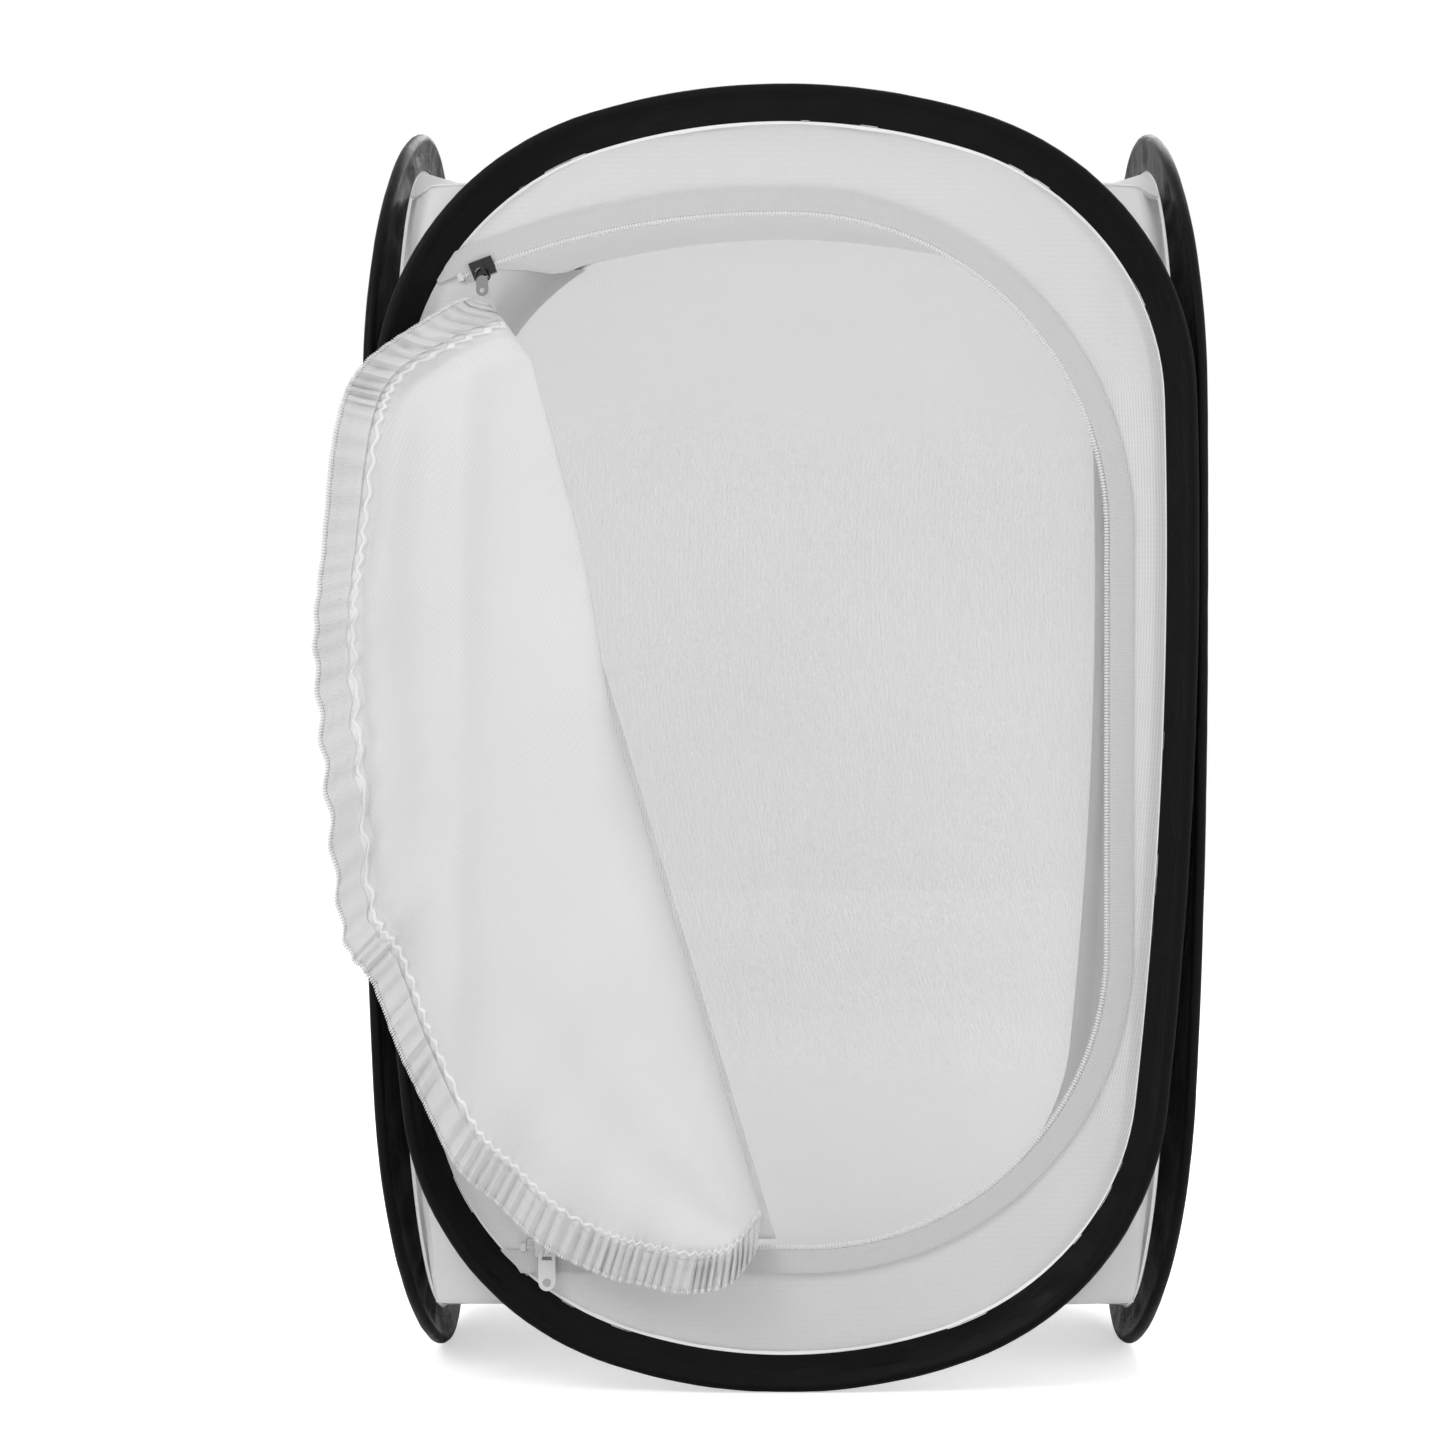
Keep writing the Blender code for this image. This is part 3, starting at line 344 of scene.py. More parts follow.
def zip_tape(name, tone):
    """Ribbed tape with two rows of stitches along it, and painted shade between the ribs."""
    material, shader = finish(name, tone, 0.75)
    across, along = uv_parts(material)
    ribs = thread(material, along, 0.0009, 0.55)
    stitch = stitches(material, across, along, (0.0035, 0.0095), 0.00035, 0.0026, 0.75)
    height = maths(material, "ADD", maths(material, "MULTIPLY", ribs, 0.5), stitch)
    bump(material, shader, height, 0.55, 0.0003)
    # The grooves between the ribs are painted a little darker than the ribs: painted shade in the
    # grooves.
    two_tone(material, shader, ribs, tuple(c * 0.88 for c in tone), tone)
    sheer(material, shader, tone, 0.2)
    return material


def moulded(name, tone, roughness, grain, strength):
    """Plastic with the faint unevenness of its mould."""
    material, shader = finish(name, tone, roughness)
    bump(material, shader, cloudy(material, grain), strength, GRAIN_DEPTH)
    return material, shader


def worn_metal(name, tone, roughness):
    """Metal whose gloss varies a little from handling."""
    material, shader = finish(name, tone, roughness, 1)
    gloss = cloudy(material, 400, roughness * 0.8, roughness * 1.3)
    wire(material, gloss, shader.inputs["Roughness"])
    bump(material, shader, cloudy(material, 900, detail=2), 0.08, GRAIN_DEPTH)
    return material


grey_tape = zip_tape("grey_tape", (0.66, 0.66, 0.66))
white_tape = zip_tape("white_tape", (0.76, 0.76, 0.76))
nylon, _ = moulded("nylon", (0.68, 0.68, 0.68), 0.40, 1200, 0.1)
stop_plastic, _ = moulded("stop_plastic", (0.60, 0.60, 0.60), 0.45, 900, 0.1)
black_lacquer = worn_metal("black_lacquer", (0.045, 0.045, 0.045), 0.16)
chrome_plate = worn_metal("chrome_plate", (0.27, 0.27, 0.28), 0.20)
nickel_plate = worn_metal("nickel_plate", (0.50, 0.50, 0.49), 0.30)
spring_steel = worn_metal("spring_steel", (0.35, 0.35, 0.37), 0.35)
clear_plastic, clear_shader = moulded("clear_plastic", (0.72, 0.72, 0.72), 0.16, 500, 0.06)
clear_shader.inputs["Alpha"].default_value = 0.82
clear_shader.inputs["Coat Weight"].default_value = 0.5
print("small finishes ready")

# %% [markdown]
# ## Helpers for cloth
# Every soft piece here is a sheet through rows of points. The helper also writes the UV map in
# metres, measured along the rows, then gives the sheet its thickness.

# %% Sheets through rows of points
NET_GAUGE, HEM_GAUGE = 0.00025, 0.0003


def keep(name, mesh, material, body):
    """Link a mesh as one piece of the object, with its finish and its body."""
    mesh.materials.append(material)
    piece = bpy.data.objects.new(name, mesh)
    scene.collection.objects.link(piece)
    if body is not None:
        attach(piece, body)
    return piece


def skin(name, rows, closed=False, ring=False, uv=None):
    """A mesh of quads through rows of points; closed joins the last row to the first."""
    bm = bmesh.new()
    layer = bm.loops.layers.uv.new("cloth")
    lines = [[bm.verts.new(point) for point in row] for row in rows]
    if uv is None:
        uv = measured(rows)
    count = len(lines)
    width = len(lines[0])
    for i in range(count if closed else count - 1):
        for j in range(width if ring else width - 1):
            places = ((i, j), (i, j + 1), (i + 1, j + 1), (i + 1, j))
            corners = [lines[a % count][b % width] for a, b in places]
            if len({corner.co.to_tuple(7) for corner in corners}) < 3:
                continue  # the corners fall together
            try:
                face = bm.faces.new(corners)
            except ValueError:
                continue  # the face is there already
            for loop, (a, b) in zip(face.loops, places):
                loop[layer].uv = uv(a, b)
    bmesh.ops.remove_doubles(bm, verts=bm.verts, dist=1e-6)
    return mesh_from(name, bm)


def mesh_from(name, bm):
    """A smooth mesh from a bmesh, with its faces turned outward."""
    bmesh.ops.recalc_face_normals(bm, faces=bm.faces)
    mesh = bpy.data.meshes.new(name)
    bm.to_mesh(mesh)
    bm.free()
    mesh.shade_smooth()
    return mesh


def distances(points):
    """Distance to each point of a closed line, and back to the first."""
    far = [0.0]
    for first, second in zip(points, points[1:] + points[:1]):
        far.append(far[-1] + (second - first).length)
    return far


def run_of(line):
    """Length of an open line through points."""
    return sum((b - a).length for a, b in zip(line, line[1:]))


def measured(rows):
    """UV places in metres: along each row for u, down the middle column for v."""
    down = distances([row[len(row) // 2] for row in rows])
    across = [distances(row) for row in rows]

    def place(i, j):
        return across[i % len(rows)][j], down[i]

    return place


def area_of(piece):
    """Area of a piece's faces, in square metres."""
    return sum(face.area for face in piece.data.polygons)


def apply_all(piece):
    """Turn a piece's modifiers into plain mesh."""
    deps = bpy.context.evaluated_depsgraph_get()
    mesh = bpy.data.meshes.new_from_object(piece.evaluated_get(deps))
    piece.modifiers.clear()
    piece.data = mesh
    mesh.shade_smooth()


def thicken(piece, thickness):
    """Give a sheet its thickness, half to each side."""
    solid = piece.modifiers.new("Thickness", "SOLIDIFY")
    solid.thickness = thickness
    solid.offset = 0
    apply_all(piece)
    piece.data.set_sharp_from_angle(angle=radians(50))


def cloth(name, rows, material, body, gauge, closed=False):
    """A piece of cloth through rows of points, with its gauge; returns its area too."""
    piece = keep(name, skin(name, rows, closed=closed), material, body)
    area = area_of(piece)
    thicken(piece, gauge)
    return piece, area


def rough(x, y, z):
    """Smooth random value at a place, about -1 to 1."""
    return noise.noise(Vector((x, y, z)))


def ramped(value, start, run):
    """0 up to a start, then rising to 1 over a run."""
    return min(max((value - start) / run, 0), 1)


def turned(point, turn):
    """A point of the front face carried to another face by quarter turns about the upright axis."""
    for _ in range(turn):
        point = Vector((-point.y, point.x, point.z))
    return point


print("cloth helpers ready")

# %% [markdown]
# ## The hoop's line
# A hoop is one closed loop of spring wire. Pushed into shape by the cloth it settles into smooth
# arcs that meet without a corner: a round crown, two tighter shoulders, long flat sides that are
# widest above the middle, and a rounder base. Building it from circle arcs keeps that spring look;
# a hand-drawn curve would wobble.

# %% Arcs of the hoop
HEIGHT = 0.600
HALF_WIDTH = 0.1885
WIDEST = 0.390
CROWN, SHOULDER, SIDE, BASE = 0.300, 0.140, 2.400, 0.250
FOOT_CUT = 0.0005
TUBE = 0.0030
TAPE = 0.0175
LEG = TAPE - TUBE
LEG_HALF = 0.0011
WIRE_DEPTH = HALF_WIDTH - TUBE + (2 * TUBE + 0.0004) / sqrt(2)
FIN_ANGLE = radians(45)
FACE_DEPTH = WIRE_DEPTH - LEG * sin(FIN_ANGLE)


def crossing(first, first_radius, second, second_radius, upper):
    """The upper or lower point where two circles cross."""
    dx, dz = second[0] - first[0], second[1] - first[1]
    apart = hypot(dx, dz)
    along = (apart ** 2 + first_radius ** 2 - second_radius ** 2) / (2 * apart)
    across = sqrt(max(first_radius ** 2 - along ** 2, 0))
    ends = [(first[0] + (along * dx - s * across * dz) / apart,
             first[1] + (along * dz + s * across * dx) / apart) for s in (1, -1)]
    return max(ends, key=lambda p: p[1]) if upper else min(ends, key=lambda p: p[1])


def heading(start, end):
    """Angle of the line from one point to another."""
    return atan2(end[1] - start[1], end[0] - start[0])


def half_hoop():
    """Right half of the outer edge from crown to foot: arc centre, radius and angle."""
    crown, base = (0, HEIGHT - CROWN), (0, BASE - FOOT_CUT)
    side = (HALF_WIDTH - SIDE, WIDEST)
    upper = crossing(crown, CROWN - SHOULDER, side, SIDE - SHOULDER, True)
    lower = crossing(base, BASE - SHOULDER, side, SIDE - SHOULDER, False)
    bends = [pi / 2, heading(crown, upper), heading(side, upper), heading(side, lower),
             heading(base, lower), -pi / 2]
    arcs = ((crown, CROWN, 22), (upper, SHOULDER, 22), (side, SIDE, 34), (lower, SHOULDER, 22),
            (base, BASE, 20))
    line = [(crown, CROWN, pi / 2)]
    for index, (centre, radius, steps) in enumerate(arcs):
        start, end = bends[index], bends[index + 1]
        line += [(centre, radius, start + (end - start) * k / steps) for k in range(1, steps + 1)]
    return line


def face_depth(z):
    """Distance of a face's cloth from the cage's middle; faces lean in a little at crown and foot."""
    if z > WIDEST:
        return FACE_DEPTH - 0.002 * ((z - WIDEST) / (HEIGHT - WIDEST)) ** 2.5
    return FACE_DEPTH - 0.012 * min((WIDEST - z) / WIDEST, 1) ** 2.5


def hoop_place(centre, radius, angle, side):
    """Wire centre, sewn edge, inward and across directions of the sleeve at one place."""
    nu, nz = cos(angle), sin(angle)
    twist = FIN_ANGLE * nu ** 2
    u = centre[0] + (radius - TUBE) * nu
    z = centre[1] + (radius - TUBE) * nz
    end_u = u - LEG * cos(twist) * nu
    end_z = z - LEG * cos(twist) * nz
    depth = face_depth(end_z)
    core = Vector((side * u, -depth - LEG * sin(twist), z))
    sewn = Vector((side * end_u, -depth, end_z))
    inward = (sewn - core).normalized()
    across = inward.cross(Vector((-nz * side, 0, nu))).normalized() * side
    return core, sewn, inward, across


half = half_hoop()
hoop = [hoop_place(*place, 1) for place in half]
foot_index = len(half) - 1
hoop += [hoop_place(*place, -1) for place in half[1:-1]][::-1]
length = distances([place[0] for place in hoop])[-1]
print("places round a hoop:", len(hoop), "wire length, mm:", round(length * 1000))

# %% [markdown]
# ## The black sleeves
# The sleeve is a tape folded round the wire and sewn through both layers onto the face. Its two
# legs lie in the face at crown and foot, and stand out at 45 degrees along the upright corners,
# where two neighbouring sleeves meet back to back. Cloth that is eased round a bend puckers, so
# the legs get small waves that grow at the shoulders and die out at the stitched edge.

# %% Sleeve section and its puckers
OUTER = (52, 70, 90, 110, 130, 150, 170, 190, 210, 230, 250, 270, 290, 308)
BORE = (335, 300, 260, 220, 180, 140, 100, 60, 25)
LEG_SHARES = (0.40, 0.55, 0.70, 0.85, 1.0)
SLIT = 0.00025
WIRE_ROOM = 0.0021


def pucker(place, seed):
    """A slow random wave along the sleeve, between about -1 and 1."""
    slow = noise.noise(place * 62 + Vector((seed, 0, 0)))
    quick = noise.noise(place * 130 + Vector((0, seed, 0)))
    return (slow + 0.6 * quick) * 1.6


def sleeve_section(core, inward, across, seed, bend):
    """One ring of points: outside of the tape all round, then back along its inside."""
    swell = 1 + 0.05 * pucker(core, seed)
    wave = (0.00035 + 0.00095 * bend) * pucker(core, seed + 7)
    slant = (0.0002 + 0.0004 * bend) * pucker(core, seed + 13)
    ring = []
    for side in (1, -1):
        leg = []
        for share in LEG_SHARES:
            calm = sin(pi * share)
            puff = LEG_HALF + (0.0012 - 0.0008 * share) * (1 - share)
            puff += 0.0003 * calm * pucker(core, seed + 3)
            off = side * max(puff, 0.0008) + wave * calm + slant * sin(2 * pi * share)
            leg.append(core + inward * LEG * share + across * off)
        if side == 1:
            ring += leg[::-1]
            for degrees in OUTER:
                a = radians(degrees)
                reach = TUBE * min(swell if 100 < degrees < 260 else 1, 1)
                ring.append(core + inward * reach * cos(a) + across * reach * sin(a))
        else:
            ring += leg
    ring.append(core + inward * LEG - across * SLIT)
    for degrees in BORE:
        a = radians(degrees)
        up = WIRE_ROOM * sin(a)
        if degrees in (BORE[0], BORE[-1]):
            up = SLIT if up > 0 else -SLIT
        ring.append(core + inward * WIRE_ROOM * cos(a) + across * up)
    ring.append(core + inward * LEG + across * SLIT)
    return [Vector((p.x, p.y, max(p.z, 0))) for p in ring]


def sleeve_rows(seed):
    """Rings round a whole hoop; puckers are strongest at the shoulders."""
    rows = []
    for index, (core, _, inward, across) in enumerate(hoop):
        place = half[index] if index <= foot_index else half[len(hoop) - index]
        bend = 1.0 if place[1] == SHOULDER else 0.35
        rows.append(sleeve_section(core, inward, across, seed, bend))
    return rows


def sleeve_uv(rows):
    """u runs from the wire out along each leg; v runs round the hoop."""
    down = distances([row[8] for row in rows])

    def place(i, j):
        core, _, inward, _ = hoop[i % len(hoop)]
        reach = (rows[i % len(rows)][j % len(rows[0])] - core).dot(inward)
        return reach, down[i]

    return place


FACES = {"front": ("front_frame", 0), "right": ("right_side", 1),
         "back": ("back_side", 2), "left": ("left_side", 3)}
sleeves, hems = {}, {}
for face, (body, turn) in FACES.items():
    rows = sleeve_rows(turn * 31.7)
    uv = sleeve_uv(rows)
    placed = [[turned(p, turn) for p in row] for row in rows]
    mesh = skin(f"{face}_sleeve_cloth", placed, closed=True, ring=True, uv=uv)
    sleeve = keep(f"{face}_sleeve_cloth", mesh, sleeve_tape, body)
    sleeve.data.set_sharp_from_angle(angle=radians(60))
    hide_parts(f"{face}_hoop_sleeve")
    sleeves[face] = sleeve
print("sleeves:", len(FACES), "faces each:", len(sleeve.data.polygons))

# %% [markdown]
# ## White hem inside each sleeve
# The netting's raw edge is bound with a narrow white tape before the sleeve goes over it. About a
# millimetre of it peeps out along the sleeve, and reads as a bright line between black and white.

# %% Hems
def facing_out(across):
    """The leg's across direction, pointing to the front."""
    return -across if across.y > 0 else across


for face, (body, turn) in FACES.items():
    rows = []
    for core, sewn, inward, across in hoop:
        outward = facing_out(across)
        peep = 0.0014 + 0.0003 * pucker(core, turn + 50)
        places = ((-0.0005, 0.0009), (0.0004, 0.0009), (peep, 0.0005))
        rows.append([turned(sewn + inward * reach + outward * lift, turn) for reach, lift in places])
    hems[face], _ = cloth(f"{face}_hem", rows, hem_cloth, body, HEM_GAUGE, closed=True)
print("hems:", len(hems))

# %% [markdown]
# ## Where the front sleeve's ends meet
# The tape is one long strip, so somewhere its ends overlap. On the front hoop that is at the foot,
# right of the middle: one end is folded under and laid over the other for a few centimetres. A
# thin extra layer on the front leg is enough.

# %% Overlap at the foot
OVERLAP_LIFT, OVERLAP_GAUGE = 0.00045, 0.0004
overlap_rows = []
for index in range(foot_index - 14, foot_index - 3):
    core, _, inward, across = hoop[index]
    off = facing_out(across) * (LEG_HALF + OVERLAP_LIFT)
    overlap_rows.append([core + inward * LEG * share + off for share in (1.0, 0.8, 0.6, 0.42)])
overlap, _ = cloth("front_sleeve_overlap", overlap_rows, sleeve_tape, "front_frame",
                   OVERLAP_GAUGE)
print("overlap length, mm:", round(run_of([row[0] for row in overlap_rows]) * 1000))

# %% [markdown]
# ## The netting faces
# Each face is one piece of netting cut to the hoop's inside and sewn between the sleeve's two
# legs. It is pulled tight, yet never dead flat: it bellies in a little and has shallow waves that
# run from the shoulders. The front face is made further down, with the door's opening.

# %% Netting faces
TUCK = 0.0020
COLUMNS, STEPS = 40, 96


def sewn_edge(z):
    """Inner end of the sleeve at a height, on the front face's right side."""
    line = [place[1] for place in hoop[:foot_index + 1]]
    for a, b in zip(line, line[1:]):
        if b.z <= z <= a.z and a.z > b.z:
            return a.lerp(b, (a.z - z) / (a.z - b.z))
    return line[0] if z > line[0].z else line[-1]


def face_point(u, z, share, seed):
    """A point of a face's netting; share is 0 at the middle and 1 at the sewn edge."""
    calm = 1 - share ** 2
    belly = -0.0016 * calm
    wave = 0.0011 * calm * rough(u * 9 + seed, z * 5, seed)
    wave += 0.0005 * calm * rough(u * 34 + seed, z * 11, 3.1)
    return Vector((u, -(face_depth(z) + belly + wave), z))


def face_rows(seed):
    """Level rows from just inside the top of the sleeve's slit to the foot's."""
    top = hoop[0][1].z + TUCK
    foot = hoop[foot_index][1].z - TUCK
    rows = []
    for step in range(STEPS + 1):
        z = top + (foot - top) * (0.5 - 0.5 * cos(pi * step / STEPS))
        inner = sewn_edge(min(max(z, foot + TUCK), top - TUCK))
        reach = max(abs(inner.x) + TUCK * 0.7, 0.004)
        if step in (0, STEPS):
            reach = 0.012
        rise = min((top - z) / 0.02, (z - foot) / 0.02, 1)
        row = []
        for column in range(COLUMNS + 1):
            across = 2 * column / COLUMNS - 1
            share = max(abs(across), 1 - rise)
            row.append(face_point(across * reach, z, min(share, 1), seed))
        rows.append(row)
    return rows


for face, (body, turn) in FACES.items():
    if face == "front":
        continue
    rows = [[turned(p, turn) for p in row] for row in face_rows(turn * 5.3)]
    panel, flat_area = cloth(f"{face}_netting", rows, white_net, body, NET_GAUGE)
    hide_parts(f"{face}_panel")
print("netting area of a face, m2:", round(flat_area, 4))

# %% [markdown]
# ## The zip's line
# The door's zip follows the hoop at some distance: up from its lower left end, round the right
# side and over the top to its upper left end. It is again made of arcs, with a straight run at
# the foot. The cloth left of the slanting fold line stays; the flap hangs from that line.

# %% Line of teeth, and the fold line
ZIP_TOP, ZIP_ARM, ZIP_FOOT = 0.371, 0.145, 0.137
ZIP_LEFT, ZIP_RIGHT, ZIP_LOW = -0.138, 0.147, 0.067
ZIP_LOW_LEFT = -0.109
FOLD_FOOT = (-0.003, ZIP_LOW)
END_RUN = 0.0095
TOP_STEPS, ARM_STEPS, LOW_STEPS = 60, 50, 30


def zip_line():
    """The line of teeth as (point, outward normal) pairs, and the upper end of the fold line."""
    top = (-0.004, HEIGHT - 0.060 - ZIP_TOP)
    arm_x = ZIP_RIGHT - ZIP_ARM
    arm = (arm_x, top[1] + sqrt((ZIP_TOP - ZIP_ARM) ** 2 - (arm_x - top[0]) ** 2))
    foot = (ZIP_RIGHT - ZIP_FOOT, ZIP_LOW + ZIP_FOOT)
    start = pi - atan2(sqrt(ZIP_TOP ** 2 - (ZIP_LEFT - top[0]) ** 2), top[0] - ZIP_LEFT)
    join = heading(top, arm)
    first = start + END_RUN / ZIP_TOP
    arcs = [(top, ZIP_TOP, first - (first - join) * k / TOP_STEPS) for k in range(TOP_STEPS + 1)]
    arcs += [(arm, ZIP_ARM, join * (1 - k / ARM_STEPS)) for k in range(1, ARM_STEPS + 1)]
    arcs += [(foot, ZIP_FOOT, -pi / 2 * k / ARM_STEPS) for k in range(ARM_STEPS + 1)]
    line = [((c[0] + r * cos(a), c[1] + r * sin(a)), (cos(a), sin(a))) for c, r, a in arcs]
    low_run = ZIP_LOW_LEFT - END_RUN - foot[0]
    line += [((foot[0] + low_run * k / LOW_STEPS, ZIP_LOW), (0, -1)) for k in range(1, LOW_STEPS + 1)]
    fold_top = (top[0] + ZIP_TOP * cos(start), top[1] + ZIP_TOP * sin(start))
    return line, fold_top


teeth_line, FOLD_TOP = zip_line()
fold_x, fold_z = FOLD_FOOT[0] - FOLD_TOP[0], FOLD_FOOT[1] - FOLD_TOP[1]
FOLD_LENGTH = hypot(fold_x, fold_z)
ALONG = (fold_x / FOLD_LENGTH, fold_z / FOLD_LENGTH)
ACROSS = (ALONG[1], -ALONG[0])
teeth_points = [point for point, _ in teeth_line]
zip_length = sum(hypot(b[0] - a[0], b[1] - a[1]) for a, b in zip(teeth_points, teeth_points[1:]))
print("zip length, mm:", round(zip_length * 1000), "fold line, mm:", round(FOLD_LENGTH * 1000))

# %% [markdown]
# ## The front face with its door opening
# The front netting is made like the others, then cut with a solid that has the opening's outline.
# A cut with a solid leaves a clean edge whatever the grid of the netting is; the zip's tape is
# sewn over that edge and hides it.

# %% Front face
UNDER_TAPE = 0.006
CUT_BACK = 0.0034


def door_outline():
    """Opening in the face: inside the zip, right of the fold line."""
    line = [(p[0] + n[0] * UNDER_TAPE, p[1] + n[1] * UNDER_TAPE) for p, n in teeth_line]
    ends = (teeth_line[-1], teeth_line[0])
    back = [(p[0] - n[0] * CUT_BACK, p[1] - n[1] * CUT_BACK) for p, n in ends]
    low = (FOLD_FOOT[0] - ALONG[0] * CUT_BACK, FOLD_FOOT[1] + CUT_BACK)
    high = (FOLD_TOP[0] + 0.0012, FOLD_TOP[1] - CUT_BACK)
    return line + [back[0], low, high, back[1]]


front, _ = cloth("front_netting", face_rows(2.9), white_net, "front_frame", NET_GAUGE)
cutter_rows = [[Vector((u, y, z)) for u, z in door_outline()] for y in (-0.26, -0.10)]
bm = bmesh.new()
bm.from_mesh(skin("door_cutter", cutter_rows, ring=True))
bmesh.ops.holes_fill(bm, edges=bm.edges, sides=0)
cutter = bpy.data.objects.new("door_cutter", mesh_from("door_cutter", bm))
scene.collection.objects.link(cutter)
cut = front.modifiers.new("Door", "BOOLEAN")
cut.operation = "DIFFERENCE"
cut.solver = "EXACT"
cut.object = cutter
apply_all(front)
bpy.data.objects.remove(cutter)
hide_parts("front_panel")

# %% [markdown]
# ## Zip tape and teeth on the frame
# A coil zip is a ribbed tape with a nylon spiral sewn to its edge. At this size the spiral reads as
# a row of fine crosswise ribs, so each turn is a small rounded bar, 1.4 mm from the next, on the
# tape's edge. The tape itself is a strip of one width, narrowed only at its first rows.

# %% Frame's side of the zip
COIL = 0.0024
TOOTH_PITCH, TOOTH_HALF_LENGTH, TOOTH_HALF_HEIGHT = 0.0014, 0.00052, 0.0009
TAPE_WIDTH, TAPE_START = 0.0107, 0.0013
TAPE_GAUGE, TAPE_LIFT, TEETH_LIFT = 0.0006, 0.0012, 0.0013
LEADS = (0.004, 0.008, 0.012)


def strip_rows(line, reaches):
    """Rows across a flat strip along the teeth line, at distances outside it."""
    rows = []
    for index, (point, normal) in enumerate(line):
        share = min(index / 3, 1) * 0.4 + 0.6
        row = []
        for place, reach in enumerate(reaches):
            out = reach if place == 0 else reach * share
            u, z = point[0] + normal[0] * out, point[1] + normal[1] * out
            ripple = 0.00015 * rough(u * 60, z * 60, 4.4)
            row.append(Vector((u, -(face_depth(z) + TAPE_LIFT + ripple), z)))
        rows.append(row)
    return rows


(x0, z0), turn0 = teeth_line[0]
(x1, z1), turn1 = teeth_line[-1]
lead = [((x0 - turn0[1] * step, z0 + turn0[0] * step), turn0) for step in LEADS[::-1]]
tail = [((x1 - step, z1), turn1) for step in LEADS]
reaches = [TAPE_START + TAPE_WIDTH * k / 6 for k in range(7)]
tape_rows = strip_rows(lead + teeth_line + tail, reaches)
tape, tape_area = cloth("frame_zip_tape", tape_rows, grey_tape, "front_frame", TAPE_GAUGE)
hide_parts("zip_frame_tape")


def join_rings(bm, rings):
    """Quads between rings of points that follow each other."""
    count = len(rings[0])
    for first, second in zip(rings, rings[1:]):
        for k in range(count):
            bm.faces.new((first[k], first[(k + 1) % count], second[(k + 1) % count], second[k]))


def add_tooth(bm, middle, across, along, out):
    """A small rounded bar, one turn of the coil seen from outside."""
    rings = []
    for place, size in ((-1, 0.55), (-0.72, 1), (0.72, 1), (1, 0.55)):
        ring = []
        for k in range(6):
            a = pi / 3 * k + pi / 6
            point = middle + across * (COIL / 2) * place
            point += along * TOOTH_HALF_LENGTH * size * cos(a) + out * TOOTH_HALF_HEIGHT * size * sin(a)
            ring.append(bm.verts.new(point))
        rings.append(ring)
    join_rings(bm, rings)
    bm.faces.new(rings[0][::-1])
    bm.faces.new(rings[-1])


def teeth_piece(name, places, body):
    """Teeth along places (point, across, along, out), with the coil's thin core through them."""
    bm = bmesh.new()
    travelled, due = 0.0, 0.0
    for (p0, c0, t0, o0), (p1, c1, t1, o1) in zip(places, places[1:]):
        step = (p1 - p0).length
        while due <= travelled + step:
            share = (due - travelled) / step
            across = c0.lerp(c1, share).normalized()
            along = t0.lerp(t1, share).normalized()
            add_tooth(bm, p0.lerp(p1, share), across, along, o0.lerp(o1, share).normalized())
            due += TOOTH_PITCH
        travelled += step
    join_rings(bm, [[bm.verts.new(p + c * 0.0004 * cos(a) + o * 0.0005 * sin(a))
                     for a in (0.8, 2.4, 3.9, 5.5)] for p, c, _, o in places])
    return keep(name, mesh_from(name, bm), nylon, body)


OUT = Vector((0, -1, 0))
places = []
for point, normal in teeth_line:
    middle = Vector((point[0], -(face_depth(point[1]) + TEETH_LIFT), point[1]))
    across = Vector((normal[0], 0, normal[1]))
    places.append((middle, across, Vector((normal[1], 0, -normal[0])), OUT))
teeth = teeth_piece("frame_zip_teeth", places, "front_frame")
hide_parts("zip_frame_coil")
print("teeth on the frame:", round(zip_length / TOOTH_PITCH))

# %% [markdown]
# ## The hanging door
# The flap is one sheet of fine netting. It is folded over along the slanting line, so it stands
# off the face in a soft roll, bulges over the line in its upper part, and then hangs in front of
# the cage to the left. Its outer edge is gathered onto the other half of the zip, because curved
# cloth is eased onto a straight tape: that makes the row of small pleats. Long slack folds run
# down from the upper slider.

# %% Flap surface
EDGE = (
    (0.028, 0.014), (0.036, 0.050), (0.064, 0.133), (0.111, 0.173), (0.228, 0.224), (0.319, 0.258),
    (0.443, 0.284), (0.579, 0.310), (0.634, 0.297), (0.719, 0.289), (0.819, 0.272), (0.874, 0.244),
    (0.932, 0.208), (0.970, 0.165), (0.991, 0.130), (1.010, 0.090), (1.012, 0.052), (0.991, 0.019),
)
ROOT_START, ROOT_RUN = 0.031, 0.932
ROLL, ROLL_WIDTH = 0.0185, 0.026
BELLY, BELLY_WIDTH = 0.023, 0.045
SEAM = 0.003
PLEATS = 84
BAND, BAND_SEAM = 0.0105, 0.0165
FLAP_ROWS, FLAP_COLUMNS = 372, 54


def bell(value, middle, width):
    """1 at the middle, falling to 0 on both sides."""
    return exp(-((value - middle) / width) ** 2)


def from_fold(along, across):
    """A place in the face's plane, from distances along the fold line and away from it."""
    return (FOLD_TOP[0] + ALONG[0] * along + ACROSS[0] * across,
            FOLD_TOP[1] + ALONG[1] * along + ACROSS[1] * across)


